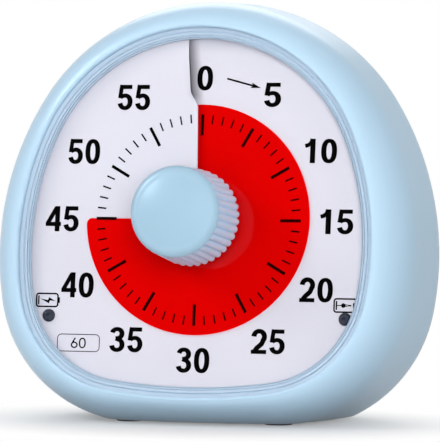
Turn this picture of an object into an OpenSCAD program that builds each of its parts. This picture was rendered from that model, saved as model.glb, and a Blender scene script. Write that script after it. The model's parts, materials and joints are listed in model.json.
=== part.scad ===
// Visual countdown timer. A round-cornered wedge housing carries a tilted dial under a clear
// window. Turning the ribbed knob winds a red film out through the slit of the dial, and a
// small geared movement behind the dial takes it back to zero.
// Millimetres. The front faces -Y, +Z is up, the feet stand on z = 0.

/* [Window] */
// Lean of the dial from the vertical, in degrees
dial_tilt = 8; // [6:0.5:10]
// Top edge of the window above the dial centre
window_top = 64.2; // [63:0.1:65]
// Radius of the window's crown
window_crown_r = 57.9; // [57:0.1:59]
// Radius of the window's flanks
window_flank_r = 98.9; // [97:0.1:101]
// Radius of the window's lower corners
window_corner_r = 37.9; // [37:0.1:39]
// Height of the window's rim above the dial
rim_h = 6.5; // [6:0.1:7.5]
// Width of the ledge that carries the lens
ledge_w = 3.6; // [3:0.1:4.2]
// Height of the ledge above the dial
ledge_h = 4; // [3.6:0.1:4.4]

/* [Housing] */
// Top of the body's front outline above the dial centre
front_top = 72.4; // [71.8:0.1:73.4]
// Radius of the crown, at the front
front_crown_r = 66.9; // [66:0.1:68]
// Radius of the flanks, at the front
front_flank_r = 97.8; // [96:0.1:100]
// Radius of the lower corners, at the front
front_corner_r = 46.8; // [45.5:0.1:48]
// Top of the body's rear outline above the dial centre
rear_top = 72.7; // [72:0.1:73.6]
// Radius of the crown, at the back
rear_crown_r = 70; // [69:0.1:71]
// Radius of the flanks, at the back
rear_flank_r = 102.8; // [101:0.1:105]
// Radius of the lower corners, at the back
rear_corner_r = 51.8; // [50.5:0.1:53]
// Depth of the rounded front rim
rim_depth = 18; // [16:0.5:20]
// Depth of the flank behind the rim, at the height of the dial centre
flank_depth = 22; // [20:0.5:26]
// Depth of the rounded back
back_depth = 14; // [12:0.5:16]
// Inward reach of the rounded back
back_reach = 15; // [12:0.5:17]
// Depth of the flat that trims the bottom of the outline behind the rim
base_cut = 1.58; // [1:0.01:2]
// Wall of the moulded shells
wall = 2.2; // [1.8:0.1:2.6]
// Depth of the front shell, as a share of the body's depth
seam_share = 0.87; // [0.84:0.01:0.89]
// Open joint between the two shells
seam_gap = 0.3; // [0.2:0.05:0.5]
// Length of the lip that centres the rear cover
lip_l = 3; // [2:0.5:4]

/* [Dial and film] */
// Radius of the red film
film_r = 38.7; // [37:0.1:40]
// Thickness of the red film
film_t = 0.25; // [0.15:0.05:0.35]
// Thickness of the dial sheet
dial_t = 0.4; // [0.3:0.05:0.5]
// Rise of the dial sheet over one turn, which opens its slit
slit_rise = 1.6; // [1.5:0.05:1.8]
// Overlap of the dial's two edges at the slit, in degrees
slit_overlap = 8; // [7:0.5:10]
// Reading of the dial at rest, in minutes
rest_minutes = 45; // [5:1:55]
// Radius of the film's hub
hub_r = 5; // [4.6:0.1:5.4]
// Thickness of the lens
lens_t = 1.5; // [1.2:0.1:1.8]
// Clearance round the lens
lens_gap = 0.3; // [0.2:0.05:0.4]

/* [Knob] */
// Radius of the knob at its foot
knob_r = 16; // [15:0.1:17]
// Length of the knob from foot to shoulder
knob_l = 22; // [20:0.5:24]
// Rise of the domed face above the shoulder
knob_dome = 2; // [1:0.1:3]
// Gap between the knob's foot and the lens
knob_gap = 1; // [0.7:0.1:1.5]
// Ribs round the skirt
rib_count = 38; // [30:1:44]
// Depth of the grooves between the ribs
rib_depth = 0.7; // [0.4:0.1:0.9]
// Wall of the knob
knob_wall = 2; // [1.6:0.1:2.4]

/* [Movement] */
// Radius of the spindle
spindle_r = 3; // [2.6:0.1:3.2]
// Depth of the flat on the spindle
spindle_flat = 0.6; // [0.4:0.1:0.8]
// Radial running clearance of shafts
run_gap = 0.05; // [0.03:0.01:0.08]
// Gear module
gear_module = 0.7; // [0.6:0.02:0.72]
// Teeth of the spindle gear
spindle_teeth = 48; // [44:1:50]
// Teeth of the small gear on the idler
idler_pinion_teeth = 12; // [12:1:14]
// Teeth of the large gear on the idler
idler_wheel_teeth = 36; // [30:1:38]
// Teeth of the motor pinion
motor_teeth = 12; // [12:1:14]
// Face width of the gears
gear_w = 4; // [3:0.2:4.4]
// Thickness of the dial carrier plate
plate_t = 2; // [1.6:0.1:2.4]
// Thickness of the movement's rear plate
rear_plate_t = 1.6; // [1.2:0.1:2]
// Radius of the motor
motor_r = 10; // [8:0.5:11]
// Length of the motor
motor_l = 11; // [9:0.5:12]

/* [Electronics] */
// Radius of the charge and power lamps
lamp_r = 2.2; // [2:0.1:2.4]
// Width of the board
board_w = 64; // [58:1:68]
// Height of the board
board_h = 30; // [27:0.5:32]
// Thickness of the board
board_t = 1.6; // [1:0.1:1.8]
// Width of the battery
battery_w = 44; // [36:1:46]
// Height of the battery
battery_l = 30; // [26:1:32]
// Thickness of the battery
battery_t = 7; // [5:0.5:8]
// Radius of the speaker
speaker_r = 10; // [8:0.5:11]
// Travel of the volume slider to each side
slider_travel = 3; // [2:0.25:3.25]

/* [Feet and screws] */
// Gap under the base, held by the feet
foot_h = 0.6; // [0.4:0.1:1.2]
// Radius of the feet
foot_r = 5; // [4:0.25:6]
// Distance of the feet from the middle
foot_x = 26; // [22:0.5:28]
// Radius of the housing screws' threads
screw_r = 1.3; // [1.1:0.05:1.5]
// Radius of the small screws' threads
small_screw_r = 0.9; // [0.8:0.05:1]

/* [Hidden] */
$fn = 64;

shell_blue = [0.76, 0.87, 0.95];
film_red = [0.88, 0.02, 0.02];
dial_white = [0.92, 0.92, 0.95];
lens_clear = [0.9, 0.95, 1, 0.25];
lamp_dark = [0.18, 0.2, 0.27];
steel = [0.7, 0.71, 0.73];
brass = [0.8, 0.66, 0.36];
nylon = [0.93, 0.92, 0.88];
board_green = [0.12, 0.4, 0.22];
rubber_grey = [0.3, 0.31, 0.33];
black = [0.12, 0.12, 0.13];

// Gap between pieces that seat on each other, and between pieces that only pass.
fit_gap = 0.1;
pass_gap = 0.3;

// Outlines of the window and of the body's two ends: radii of crown, flank and corner, the
// headings at which one arc turns into the next, clockwise from the top, and the top's height.
window = [window_crown_r, 67.2, window_flank_r, 100.1, window_corner_r, 172, window_top];
body_turns = [57.6, 100.9, 177.4];
front_end = [front_crown_r, body_turns[0], front_flank_r, body_turns[1], front_corner_r,
             body_turns[2], front_top];
rear_end = [rear_crown_r, body_turns[0], rear_flank_r, body_turns[1], rear_corner_r,
            body_turns[2], rear_top];
arc_steps = [11, 6, 10, 3];

function heading(a) = [sin(a), cos(a)];

// Centre and radius of the four tangent arcs of an outline's right half.
function arcs(s) =
    let(c1 = [0, s[6] - s[0]],
        c2 = c1 + (s[0] - s[2]) * heading(s[1]),
        c3 = c2 + (s[2] - s[4]) * heading(s[3]),
        r4 = s[4] + c3[0] / sin(s[5]),
        c4 = c3 + (s[4] - r4) * heading(s[5]))
    [[c1, s[0]], [c2, s[2]], [c3, s[4]], [c4, r4]];

function arc_at(s, a) = a < s[1] ? 0 : a < s[3] ? 1 : a < s[5] ? 2 : 3;

// Point of the outline, grown outwards, whose outward normal has heading a.
function on_outline(s, grow, a) =
    let(arc = arcs(s)[arc_at(s, a)])
    arc[0] + (arc[1] + grow) * heading(a);

function outline(s, grow = 0) =
    let(turns = [0, s[1], s[3], s[5], 180],
        half = concat([for (k = [0:3]) for (i = [0:arc_steps[k] - 1])
                           on_outline(s, grow, turns[k] + (turns[k + 1] - turns[k]) * i / arc_steps[k])],
                      [on_outline(s, grow, 180)]))
    concat(half, [for (i = [len(half) - 2:-1:1]) [-half[i][0], half[i][1]]]);

// Distance from the dial centre to the grown outline, clockwise angle a from the top.
function reach(s, grow, a) =
    let(b = abs((a + 540) % 360 - 180),
        joints = [for (k = [1, 3, 5]) let(p = on_outline(s, grow, s[k])) atan2(p[0], p[1])],
        arc = arcs(s)[b < joints[0] ? 0 : b < joints[1] ? 1 : b < joints[2] ? 2 : 3],
        along = arc[0] * heading(b))
    along + sqrt(pow(arc[1] + grow, 2) - arc[0] * arc[0] + along * along);

function mix(p, q, f) = [for (i = [0:len(p) - 1]) p[i] * (1 - f) + q[i] * f];

// Heights above the dial, along the dial's normal.
lens_front = ledge_h + lens_t;
knob_foot = lens_front + knob_gap;
flange_h = slit_rise / 2 + dial_t / 2 + pass_gap;
minute_turn = 6;
end_turn = 5;
film_drift = slit_rise * (minute_turn * rest_minutes + end_turn) / 360;
hub_bottom = -slit_rise / 2 - 0.5;
hub_top = slit_rise + 0.7;
collar_t = 0.5;
collar_top = hub_bottom - film_drift - pass_gap;
bush_flange_t = 1;
carrier_front = collar_top - collar_t - run_gap - bush_flange_t;
carrier_back = carrier_front - plate_t;
bush_l = 3.6;
clip_t = 0.8;
gear_space = 0.5;
plate_space = 1.5;
clip_front = carrier_back - bush_l - fit_gap;
gear_front = clip_front - clip_t - gear_space;
gear_back = gear_front - gear_w;
wheel_front = gear_back - gear_space;
wheel_back = wheel_front - gear_w;
rear_plate_front = wheel_back - plate_space;
rear_plate_back = rear_plate_front - rear_plate_t;

// The knob's profile as [radius, height above its foot]. Its skirt tapers past the ribs' depth.
knob_boss_r = 5;
knob_bore = 16;
knob_shoulder_r = 3.2;
knob_flare = 0.3;
knob_top_r = knob_r - rib_depth - 0.1;
knob_face_r = knob_top_r - knob_shoulder_r;
dome_r = (knob_face_r * knob_face_r + knob_dome * knob_dome) / (2 * knob_dome);
dome_edge = asin(knob_face_r / dome_r);
knob_outer = concat(
    [[knob_r + knob_flare, 0], [knob_top_r, knob_l - knob_shoulder_r]],
    [for (a = [10:10:80])
        [knob_face_r + knob_shoulder_r * cos(a), knob_l - knob_shoulder_r * (1 - sin(a))]],
    [for (i = [0:8]) let(a = dome_edge * (1 - i / 8))
        [dome_r * sin(a), knob_l + knob_dome - dome_r * (1 - cos(a))]]);
knob_reach = max([for (p = knob_outer)
                      (knob_foot + p[1]) * cos(dial_tilt) + p[0] * sin(dial_tilt)]);

// Place of the dial centre, which puts the middle of the whole part, from the knob's face to
// the slider's end, over the origin.
slider_out = 1.2;
body_depth = rim_depth + flank_depth + back_depth;
flank_end = rim_depth + flank_depth;
seam_depth = seam_share * body_depth;
back_from_dial = body_depth - rim_h * cos(dial_tilt);
dial_y = (knob_reach - back_from_dial - slider_out) / 2;
dial_z = foot_h - base_cut - rim_h * sin(dial_tilt)
         - on_outline(body_at(rim_depth), 0, 180)[1] * cos(dial_tilt);
back_y = dial_y + back_from_dial;
seam_y = dial_y - rim_h * cos(dial_tilt) + seam_depth;
cover_inside_y = back_y - wall;

// Outline of the body at a depth. It grows evenly from the front to the back.
function body_at(depth) = mix(front_end, rear_end, depth / body_depth);

module on_dial() {
    translate([0, dial_y, dial_z]) rotate([90 - dial_tilt, 0, 0]) children();
}

// A point of the dial frame in the part's frame.
function dial_point(p, h) =
    [p[0], dial_y + p[1] * sin(dial_tilt) - h * cos(dial_tilt),
     dial_z + p[1] * cos(dial_tilt) + h * sin(dial_tilt)];

// A point of a shell's skin: p of the outline, carried straight back to a depth. The back is
// upright, so the lean of the front fades with the depth. The base is flat at height base.
function skin_point(p, depth, base) =
    [p[0],
     dial_y + p[1] * sin(dial_tilt) * (1 - depth / body_depth) - rim_h * cos(dial_tilt) + depth,
     max(base, dial_z + p[1] * cos(dial_tilt) + rim_h * sin(dial_tilt))];

function skin(p, depth, base) = [for (q = p) skin_point(q, depth, base)];
function flat_ring(p, h) = [for (q = p) dial_point(q, h)];

// Rim of the front, from the window's edge at 0 to the flank at 90 degrees.
function rim_ring(a, inset) =
    let(depth = rim_depth * (1 - cos(a)),
        near = outline(window, -inset),
        far = outline(body_at(depth), -inset))
    skin([for (i = [0:len(near) - 1]) mix(near[i], far[i], sin(a))], depth, foot_h + inset);

// Inward reach of the rounded back at a depth, for the outside or, with a wall, the inside.
function back_inset(depth, w = 0) =
    depth <= flank_end ? w
    : w + (back_reach - w) * (1 - sqrt(max(0, 1 - pow((depth - flank_end) / (back_depth - w), 2))));

function body_ring(depth, w = 0) =
    skin(outline(body_at(depth), -back_inset(depth, w)), depth, foot_h + w);

// A solid through rings of equally many points. A closed one joins the last to the first.
module loft(rings, closed = false) {
    n = len(rings[0]);
    m = len(rings);
    walls = [for (k = [0:m - (closed ? 1 : 2)]) for (i = [0:n - 1])
                 let(j = (i + 1) % n, up = (k + 1) % m)
                 each [[k * n + i, up * n + i, up * n + j], [k * n + i, up * n + j, k * n + j]]];
    caps = closed ? [] : [[for (i = [0:n - 1]) i], [for (i = [n - 1:-1:0]) (m - 1) * n + i]];
    polyhedron([for (r = rings) each r], concat(caps, walls), 10);
}

// Screw spots of the shells, on the rim block beside the window.
screw_headings = [40, 128];
boss_r = screw_r + 1.9;
boss_inset = 1.5;
screw_spots = [for (a = screw_headings)
                   let(p = dial_point(on_outline(window, boss_inset, a), carrier_front))
                   each [[p[0], p[2]], [-p[0], p[2]]]];
step_w = 4.5;
pocket_inset = 1.2;
carrier_headings = [0, 76, 162];
carrier_spots = [for (a = carrier_headings) let(p = on_outline(window, 1, a))
                     each (a == 0 ? [p] : [p, [-p[0], p[1]]])];
screw_bite = 5;

// A cylinder along +Y from y0 to y1 at [x, z].
module along_y(at, y0, y1, r) {
    translate([at[0], y0, at[1]]) rotate([-90, 0, 0]) cylinder(r = r, h = y1 - y0);
}

// The feet stand just inside the two ends of the flat base.
foot_recess = 1;
foot_inset = 2;
function base_y(depth) = skin_point(on_outline(body_at(depth), 0, 180), depth, foot_h)[1];
foot_y = [base_y(rim_depth) + foot_inset, base_y(flank_end) - foot_inset];

// Gears: pitch radius, tip radius and the places of the two axes behind the spindle's.
function pitch_r(teeth) = gear_module * teeth / 2;
addendum = 0.9;
dedendum = 1.25;
pressure = 20;
backlash = 0.14;
function tip_r(teeth) = pitch_r(teeth) + addendum * gear_module;
idler_side = 210;
idler_at = (pitch_r(spindle_teeth) + pitch_r(idler_pinion_teeth)) * [cos(idler_side), sin(idler_side)];
motor_at = idler_at - [0, pitch_r(idler_wheel_teeth) + pitch_r(motor_teeth)];

function involute(r, base) = r <= base ? 0 : tan(acos(base / r)) * 180 / PI - acos(base / r);

// Half width of a tooth, in degrees, at a radius.
function tooth_turn(teeth, r) =
    let(base = pitch_r(teeth) * cos(pressure))
    90 / teeth * (1 - backlash) + involute(pitch_r(teeth), base) - involute(r, base);

// Outline of a gear with a tooth towards an angle, or a gap there.
function gear_outline(teeth, toward, gap) =
    let(base = pitch_r(teeth) * cos(pressure),
        root = pitch_r(teeth) - dedendum * gear_module,
        radii = concat(root < base ? [root] : [], [max(root, base), pitch_r(teeth), tip_r(teeth)]),
        flank = [for (r = radii) [r, tooth_turn(teeth, r)]],
        sides = concat([for (f = flank) [f[0], -f[1]]],
                       [for (i = [len(flank) - 1:-1:0]) flank[i]]))
    [for (k = [0:teeth - 1]) for (f = sides)
        let(a = toward + f[1] + 360 * (k + (gap ? 0.5 : 0)) / teeth) f[0] * [cos(a), sin(a)]];

module gear(teeth, toward, gap, h) {
    linear_extrude(h) polygon(gear_outline(teeth, toward, gap));
}

// Pillars that hold the movement's rear plate clear of the gears.
pillar_r = 3;
pillar_clear = 5.5;
axle_r = 1.5;
motor_shaft_r = 1;
motor_boss_r = 3;
journal_r = 2;
groove_r = spindle_r - 0.6;
pillar_bite = 6;
motor_bite = 2;
shaft_bite = 6;
pillar_sides = [148, -15, 213];
motor_screw_x = 7;
function beside(at, teeth, side) =
    at + (tip_r(teeth) + pillar_clear) * [cos(side), sin(side)];
pillars = [beside([0, 0], spindle_teeth, pillar_sides[0]),
           beside([0, 0], spindle_teeth, pillar_sides[1]),
           beside(idler_at, idler_wheel_teeth, pillar_sides[2]),
           motor_at + [motor_r + 3 * pillar_r, 0]];
motor_screws = [motor_at - [motor_screw_x, 0], motor_at + [motor_screw_x, 0]];

// Bush, lamps and battery on the carrier.
collar_r = 4;
bush_r = 5;
bush_flange_r = 7;
lamp_spots = [[-50.9, -32.6], [51.5, -32]];
lamp_tip = 1.2;
lamp_gap = 0.15;
lamp_flange_t = 1;
lead_pitch = 2.54;
lead_w = 0.5;
lead_l = 4;
tray_t = 1.2;
tray_share = 0.6;
hook_w = 8;
peg_r = 1.5;
peg_inset = 6;
battery_edge_r = 1.5;
battery_space = 5;
battery_at = [0, tip_r(spindle_teeth) + battery_space + battery_l / 2];
peg_x = battery_w / 2 - peg_inset;

// Board and what stands on it, fastened to the inside of the rear cover.
standoff = 5.2;
board_back_y = cover_inside_y - standoff;
board_drop = 36;
board_z = dial_z - board_drop;
port_drop = 8;
port_x = -14;
slider_x = 12;
port_z = board_z - port_drop;
socket_w = 8.9;
socket_h = 3.2;
socket_skin = 0.3;
tongue_w = 6.7;
tongue_t = 0.7;
slider_w = 4;
slider_h = 2.6;
stem_w = 2.4;
stem_h = 1.4;
switch_t = 3;
switch_frame = 1.4;
ridge_w = 0.7;
ridge_pitch = 1.4;
ridge_h = 0.4;
board_boss_r = 2.4;
board_edge = 3.5;
board_spots = [for (x = [-1, 1]) for (z = [-1, 1])
                   [x * (board_w / 2 - board_edge), board_z + z * (board_h / 2 - board_edge)]];

// Parts on the board's front: [x, z] of the middle from the board's, width, height, thickness.
board_parts = [[[0, 1], 8, 8, 1.2], [[-16, 3.5], 8, 5, 4], [[17, 3.5], 6, 5, 4]];
part_bite = 0.5;
speaker_rise = 30;
speaker_z = dial_z + speaker_rise;
speaker_t = 4;
speaker_wall = 1.4;
grille_hole_r = 0.9;
grille = [[0, 1], [0.3 * speaker_r, 6], [0.6 * speaker_r, 12]];
housing_bite = 10;
counterbore = 1.6;

module front_housing() {
    rim_turns = [0:9:90];
    color(shell_blue) difference() {
        union() {
            loft(concat(
                [for (a = rim_turns) rim_ring(a, 0)],
                [for (d = [0.5 * (rim_depth + flank_end), flank_end, 0.5 * (flank_end + seam_depth),
                           seam_depth]) body_ring(d)],
                [for (d = [seam_depth, 0.5 * (flank_end + seam_depth), flank_end,
                           0.5 * (rim_depth + flank_end), rim_depth]) body_ring(d, wall)],
                [flat_ring(outline(window, step_w), carrier_front),
                 flat_ring(outline(window, -pocket_inset), carrier_front),
                 flat_ring(outline(window, -pocket_inset), flange_h),
                 flat_ring(outline(window, -ledge_w), flange_h),
                 flat_ring(outline(window, -ledge_w), ledge_h),
                 flat_ring(outline(window, 0), ledge_h)]),
                closed = true);
            intersection() {
                for (s = screw_spots)
                    along_y(s, dial_y - body_depth / 2, seam_y - fit_gap, boss_r);
                on_dial() translate([0, 0, carrier_front + 1 - 2 * body_depth])
                    cylinder(r = 2 * body_depth, h = 2 * body_depth);
            }
        }
        for (s = screw_spots)
            along_y(s, seam_y - housing_bite - 2, seam_y + 1, screw_r);
        on_dial() for (p = carrier_spots)
            translate([p[0], p[1], carrier_front - 1]) cylinder(r = small_screw_r, h = screw_bite + 1);
        for (x = [-foot_x, foot_x]) for (y = foot_y)
            translate([x, y, 0]) cylinder(r = foot_r + fit_gap, h = foot_h + foot_recess);
    }
}

// Rear cover: rounded back, and a straight lip that enters the front shell.
function turns_from(first, steps) = [for (i = [0:steps]) first + i * (90 - first) / steps];
lip_gap = 0.15;
lip_t = 1.2;
lip_inset = back_inset(seam_depth, wall) + lip_gap;
cover_edge = seam_depth + seam_gap;
back_turns = turns_from(asin((cover_edge - flank_end) / back_depth), 6);
inner_turns = turns_from(asin((cover_edge + 1.5 - flank_end) / (back_depth - wall)), 5);

function lip_ring(depth, more) =
    skin(outline(body_at(depth), -lip_inset - more), depth, foot_h + wall + lip_gap + more);
function cover_inner_ring(depth) =
    skin(outline(body_at(depth), -max(back_inset(depth, wall), lip_inset + lip_t)), depth,
         foot_h + wall);

// The space within the middle of the cover's wall, where its bosses end.
module cover_core() {
    loft([for (b = [0:15:90]) body_ring(flank_end + (back_depth - wall / 2) * sin(b), wall / 2)]);
}

// The slot of the volume slider and the holes of the speaker's grille.
module cover_cuts() {
    far = back_y + 1;
    near = cover_inside_y - 1;
    slot_w = 2 * slider_travel + slider_w + 2 * pass_gap;
    slot_h = slider_h + 2 * pass_gap;
    rounded_slot([port_x, port_z], socket_w + 2 * pass_gap, socket_h + 2 * pass_gap, near, far);
    translate([slider_x - slot_w / 2, near, port_z - slot_h / 2]) cube([slot_w, far - near, slot_h]);
    for (ring = grille) for (k = [0:ring[1] - 1]) let(a = 360 * k / ring[1])
        along_y([ring[0] * cos(a), speaker_z + ring[0] * sin(a)], near, far, grille_hole_r);
}

// A slot with round ends along X, from y0 to y1.
module rounded_slot(at, w, h, y0, y1) {
    for (side = [-1, 1]) along_y([at[0] + side * (w - h) / 2, at[1]], y0, y1, h / 2);
    translate([at[0] - (w - h) / 2, y0, at[1] - h / 2]) cube([w - h, y1 - y0, h]);
}

module rear_cover() {
    head_floor = seam_y + counterbore;
    speaker_front = cover_inside_y - speaker_t;
    color(shell_blue) difference() {
        union() {
            loft(concat(
                [for (i = [len(inner_turns) - 1:-1:0])
                    cover_inner_ring(flank_end + (back_depth - wall) * sin(inner_turns[i]))],
                [lip_ring(cover_edge, lip_t), lip_ring(seam_depth - lip_l, lip_t),
                 lip_ring(seam_depth - lip_l, 0), lip_ring(cover_edge, 0)],
                [for (b = back_turns) body_ring(flank_end + back_depth * sin(b))]));
            intersection() {
                union() {
                    for (s = screw_spots)
                        along_y(s, seam_y + fit_gap, back_y, 2 * screw_r + pass_gap + 1.2);
                    for (s = board_spots) along_y(s, board_back_y, back_y - wall / 2, board_boss_r);
                    difference() {
                        along_y([0, speaker_z], speaker_front, back_y - wall / 2,
                                speaker_r + speaker_wall);
                        along_y([0, speaker_z], speaker_front - 1, back_y, speaker_r + fit_gap);
                    }
                }
                cover_core();
            }
        }
        for (s = screw_spots) {
            along_y(s, seam_y - lip_l - 1, seam_y, boss_r + pass_gap);
            along_y(s, seam_y - 1, back_y, screw_r + pass_gap);
            along_y(s, head_floor, back_y + 1, 2 * screw_r + pass_gap);
        }
        for (s = board_spots) along_y(s, board_back_y - 1, board_back_y + standoff, small_screw_r);
        cover_cuts();
    }
}

hub_space = 2.5;

module lens() {
    color(lens_clear) on_dial() translate([0, 0, ledge_h]) difference() {
        linear_extrude(lens_t) polygon(outline(window, -lens_gap));
        translate([0, 0, -1]) cylinder(r = hub_r + hub_space, h = lens_t + 2);
    }
}

// Height of the dial at a clockwise angle from its slit, midway through the sheet.
function dial_rise(a) = slit_rise * (a / 360 - 0.5);

// A sheet between two surfaces, given as rows of points from the inside outwards.
module sheet(rows, t) {
    m = len(rows);
    n = len(rows[0]);
    top = [for (r = rows) each [for (p = r) p + [0, 0, t / 2]]];
    low = [for (r = rows) each [for (p = r) p - [0, 0, t / 2]]];
    grid = [for (k = [0:m - 2]) for (i = [0:n - 2])
                let(a = k * n + i, b = a + n)
                each [[a, a + 1, b + 1], [a, b + 1, b], [m * n + a, m * n + b + 1, m * n + a + 1],
                      [m * n + a, m * n + b, m * n + b + 1]]];
    sides = concat(
        [for (k = [0:m - 2]) for (i = [0, n - 1])
            let(a = k * n + i, b = a + n, s = m * n)
            each (i == 0 ? [[a, b, b + s], [a, b + s, a + s]] : [[b, a, a + s], [b, a + s, b + s]])],
        [for (i = [0:n - 2]) for (k = [0, m - 1])
            let(a = k * n + i, b = a + 1, s = m * n)
            each (k == 0 ? [[b, a, a + s], [b, a + s, b + s]] : [[a, b, b + s], [a, b + s, a + s]])]);
    polyhedron(concat(top, low), concat(grid, sides), 10);
}

dial_inset = 1.5;
dial_hole = hub_r + 0.6;
flap_lean = 2;
flap_sweep = 3.3;
flap_zone = 10;
flap_blend = 3;

// How far the flap's free edge falls short of a full turn, more beyond the film's rim.
function flap_turn(r) =
    let(f = min(1, max(0, (r - film_r + flap_blend) / (2 * flap_blend))))
    flap_lean + flap_sweep * f * f * (3 - 2 * f);

module dial_sheet() {
    turns = [for (i = [0:62]) -slit_overlap + i * (360 + slit_overlap) / 62];
    radii = [for (d = [-1:0.5:1]) film_r + d * flap_blend];
    color(dial_white) on_dial() difference() {
        sheet([for (a = turns)
                   let(end = max(0, 1 - (360 - a) / flap_zone), far = reach(window, -dial_inset, a))
                   [for (r = concat([dial_hole], radii, [far]))
                       let(b = a - end * flap_turn(r)) [r * sin(b), r * cos(b), dial_rise(b)]]],
              dial_t);
        for (p = lamp_spots) translate([p[0], p[1], -5]) cylinder(r = lamp_r + lamp_gap, h = 10);
    }
}

// Ring under the dial's rim, its top rising with the dial, open for the flap's edge.
seat_w = 4;
seat_open = 1;

module dial_seat() {
    turns = [for (i = [0:60]) -slit_overlap + seat_open / 2 + i * (360 - seat_open) / 60];
    color(nylon) on_dial() difference() {
        ring_solid([for (a = turns)
            let(top = dial_rise(a) - dial_t / 2 - run_gap,
                far = reach(window, -dial_inset, a),
                near = reach(window, -dial_inset - seat_w, a))
            [[near, carrier_front, a], [far, carrier_front, a], [far, top, a], [near, top, a]]]);
        for (p = lamp_spots) translate([p[0], p[1], -10]) cylinder(r = lamp_r + pass_gap, h = 20);
    }
}

// A solid through sections of [radius, height, angle] corners.
module ring_solid(sections) {
    pts = [for (s = sections) each [for (c = s) [c[0] * sin(c[2]), c[0] * cos(c[2]), c[1]]]];
    n = len(sections[0]);
    m = len(sections);
    caps = [[for (i = [0:n - 1]) i], [for (i = [n - 1:-1:0]) (m - 1) * n + i]];
    walls = [for (k = [0:m - 2]) for (i = [0:n - 1])
                 let(j = (i + 1) % n)
                 each [[k * n + i, (k + 1) * n + i, (k + 1) * n + j],
                       [k * n + i, (k + 1) * n + j, k * n + j]]];
    polyhedron(pts, concat(caps, walls), 10);
}

module dial_carrier() {
    color(nylon) difference() {
        on_dial() union() {
            translate([0, 0, carrier_back]) linear_extrude(plate_t) polygon(outline(window, 2.5));
            for (p = pillars) translate([p[0], p[1], rear_plate_front])
                cylinder(r = pillar_r, h = carrier_back - rear_plate_front + 0.5);
        }
        on_dial() {
            plate_hole([0, 0], bush_r + run_gap);
            plate_hole(idler_at, axle_r + run_gap);
            for (p = lamp_spots) plate_hole(p, lamp_r + fit_gap);
            for (p = carrier_spots) plate_hole(p, small_screw_r + fit_gap);
            for (x = [-peg_x, peg_x]) plate_hole([x, battery_at[1]], peg_r + run_gap);
            for (p = pillars) translate([p[0], p[1], rear_plate_front - 1])
                cylinder(r = small_screw_r, h = pillar_bite + 2);
        }
        for (s = screw_spots)
            along_y(s, dial_y - body_depth, dial_y + body_depth, boss_r + pass_gap);
    }
}

// A hole through the carrier plate, in the dial's frame.
module plate_hole(p, r) {
    translate([p[0], p[1], carrier_back - 1]) cylinder(r = r, h = plate_t + 2);
}

film_span = 367;
film_corner_r = 2;
film_corner_turn = film_corner_r / film_r * 180 / PI;

// Outer radius of the film near its rounded leading corner, s degrees behind its edge.
function film_edge(s) =
    let(short = max(0, 1 - s / film_corner_turn))
    film_r - film_corner_r * (1 - sqrt(1 - short * short));

module red_film() {
    shown = minute_turn * rest_minutes;
    trail = [for (i = [0:60]) film_span - i * (film_span - film_corner_turn) / 60];
    color(film_red) on_dial()
        sheet([for (s = concat(trail, [0.5 * film_corner_turn, 0.15 * film_corner_turn, 0]))
                   let(z = slit_rise * (shown - s) / 360)
                   [for (r = [hub_r + run_gap, film_edge(s)])
                       [r * sin(shown - s), r * cos(shown - s), z]]],
              film_t);
}

// The spindle's shaft with its flat, grown by a gap where it cuts a bore.
module flat_shaft(h, gap = 0) {
    difference() {
        cylinder(r = spindle_r + gap, h = h);
        translate([spindle_r - spindle_flat + gap, -2 * spindle_r, -1])
            cube([2 * spindle_r, 4 * spindle_r, h + 2]);
    }
}

module film_hub() {
    color(film_red) on_dial() translate([0, 0, hub_bottom]) difference() {
        cylinder(r = hub_r, h = hub_top - hub_bottom);
        translate([0, 0, -1]) flat_shaft(hub_top - hub_bottom + 2, run_gap);
    }
}

// Convex ribs with narrow grooves between them. The skirt's taper lets them fade out upwards.
function rib_outline() =
    [for (j = [0:6 * rib_count - 1])
        let(a = 60 * j / rib_count)
        (knob_r - rib_depth * (1 - abs(sin(30 * j)))) * [cos(a), sin(a)]];

module knob() {
    hollow_r = knob_r - rib_depth - knob_wall;
    color(shell_blue) on_dial() translate([0, 0, knob_foot]) difference() {
        intersection() {
            rotate_extrude() polygon(concat([[0, 0]], knob_outer));
            translate([0, 0, -1]) linear_extrude(knob_l + knob_dome + 2) polygon(rib_outline());
        }
        rotate_extrude() polygon([
            [knob_boss_r, -1], [hollow_r, -1], [hollow_r, knob_l - knob_shoulder_r - 0.5],
            [knob_face_r - 1, knob_l - knob_wall], [knob_boss_r, knob_l - knob_wall]]);
        translate([0, 0, -1]) flat_shaft(knob_bore + 1, run_gap);
    }
}

module spindle() {
    top = knob_foot + knob_bore - 0.5;
    clip_back = clip_front - clip_t;
    color(steel) on_dial() difference() {
        rotate_extrude() polygon([
            [0, top], [spindle_r, top], [spindle_r, collar_top], [collar_r, collar_top],
            [collar_r, collar_top - collar_t], [spindle_r, collar_top - collar_t],
            [spindle_r, clip_front], [groove_r, clip_front], [groove_r, clip_back],
            [spindle_r, clip_back], [spindle_r, gear_back], [journal_r, gear_back],
            [journal_r, rear_plate_back], [0, rear_plate_back]]);
        translate([spindle_r - spindle_flat, -2 * spindle_r, collar_top])
            cube([2 * spindle_r, 4 * spindle_r, top - collar_top + 1]);
        translate([spindle_r - spindle_flat, -2 * spindle_r, gear_back])
            cube([2 * spindle_r, 4 * spindle_r, clip_back - gear_back]);
    }
}

module spindle_bush() {
    bore = spindle_r + run_gap;
    color(brass) on_dial() rotate_extrude() polygon([
        [bore, carrier_back - bush_l], [bush_r, carrier_back - bush_l], [bush_r, carrier_front],
        [bush_flange_r, carrier_front], [bush_flange_r, carrier_front + bush_flange_t],
        [bore, carrier_front + bush_flange_t]]);
}

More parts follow.
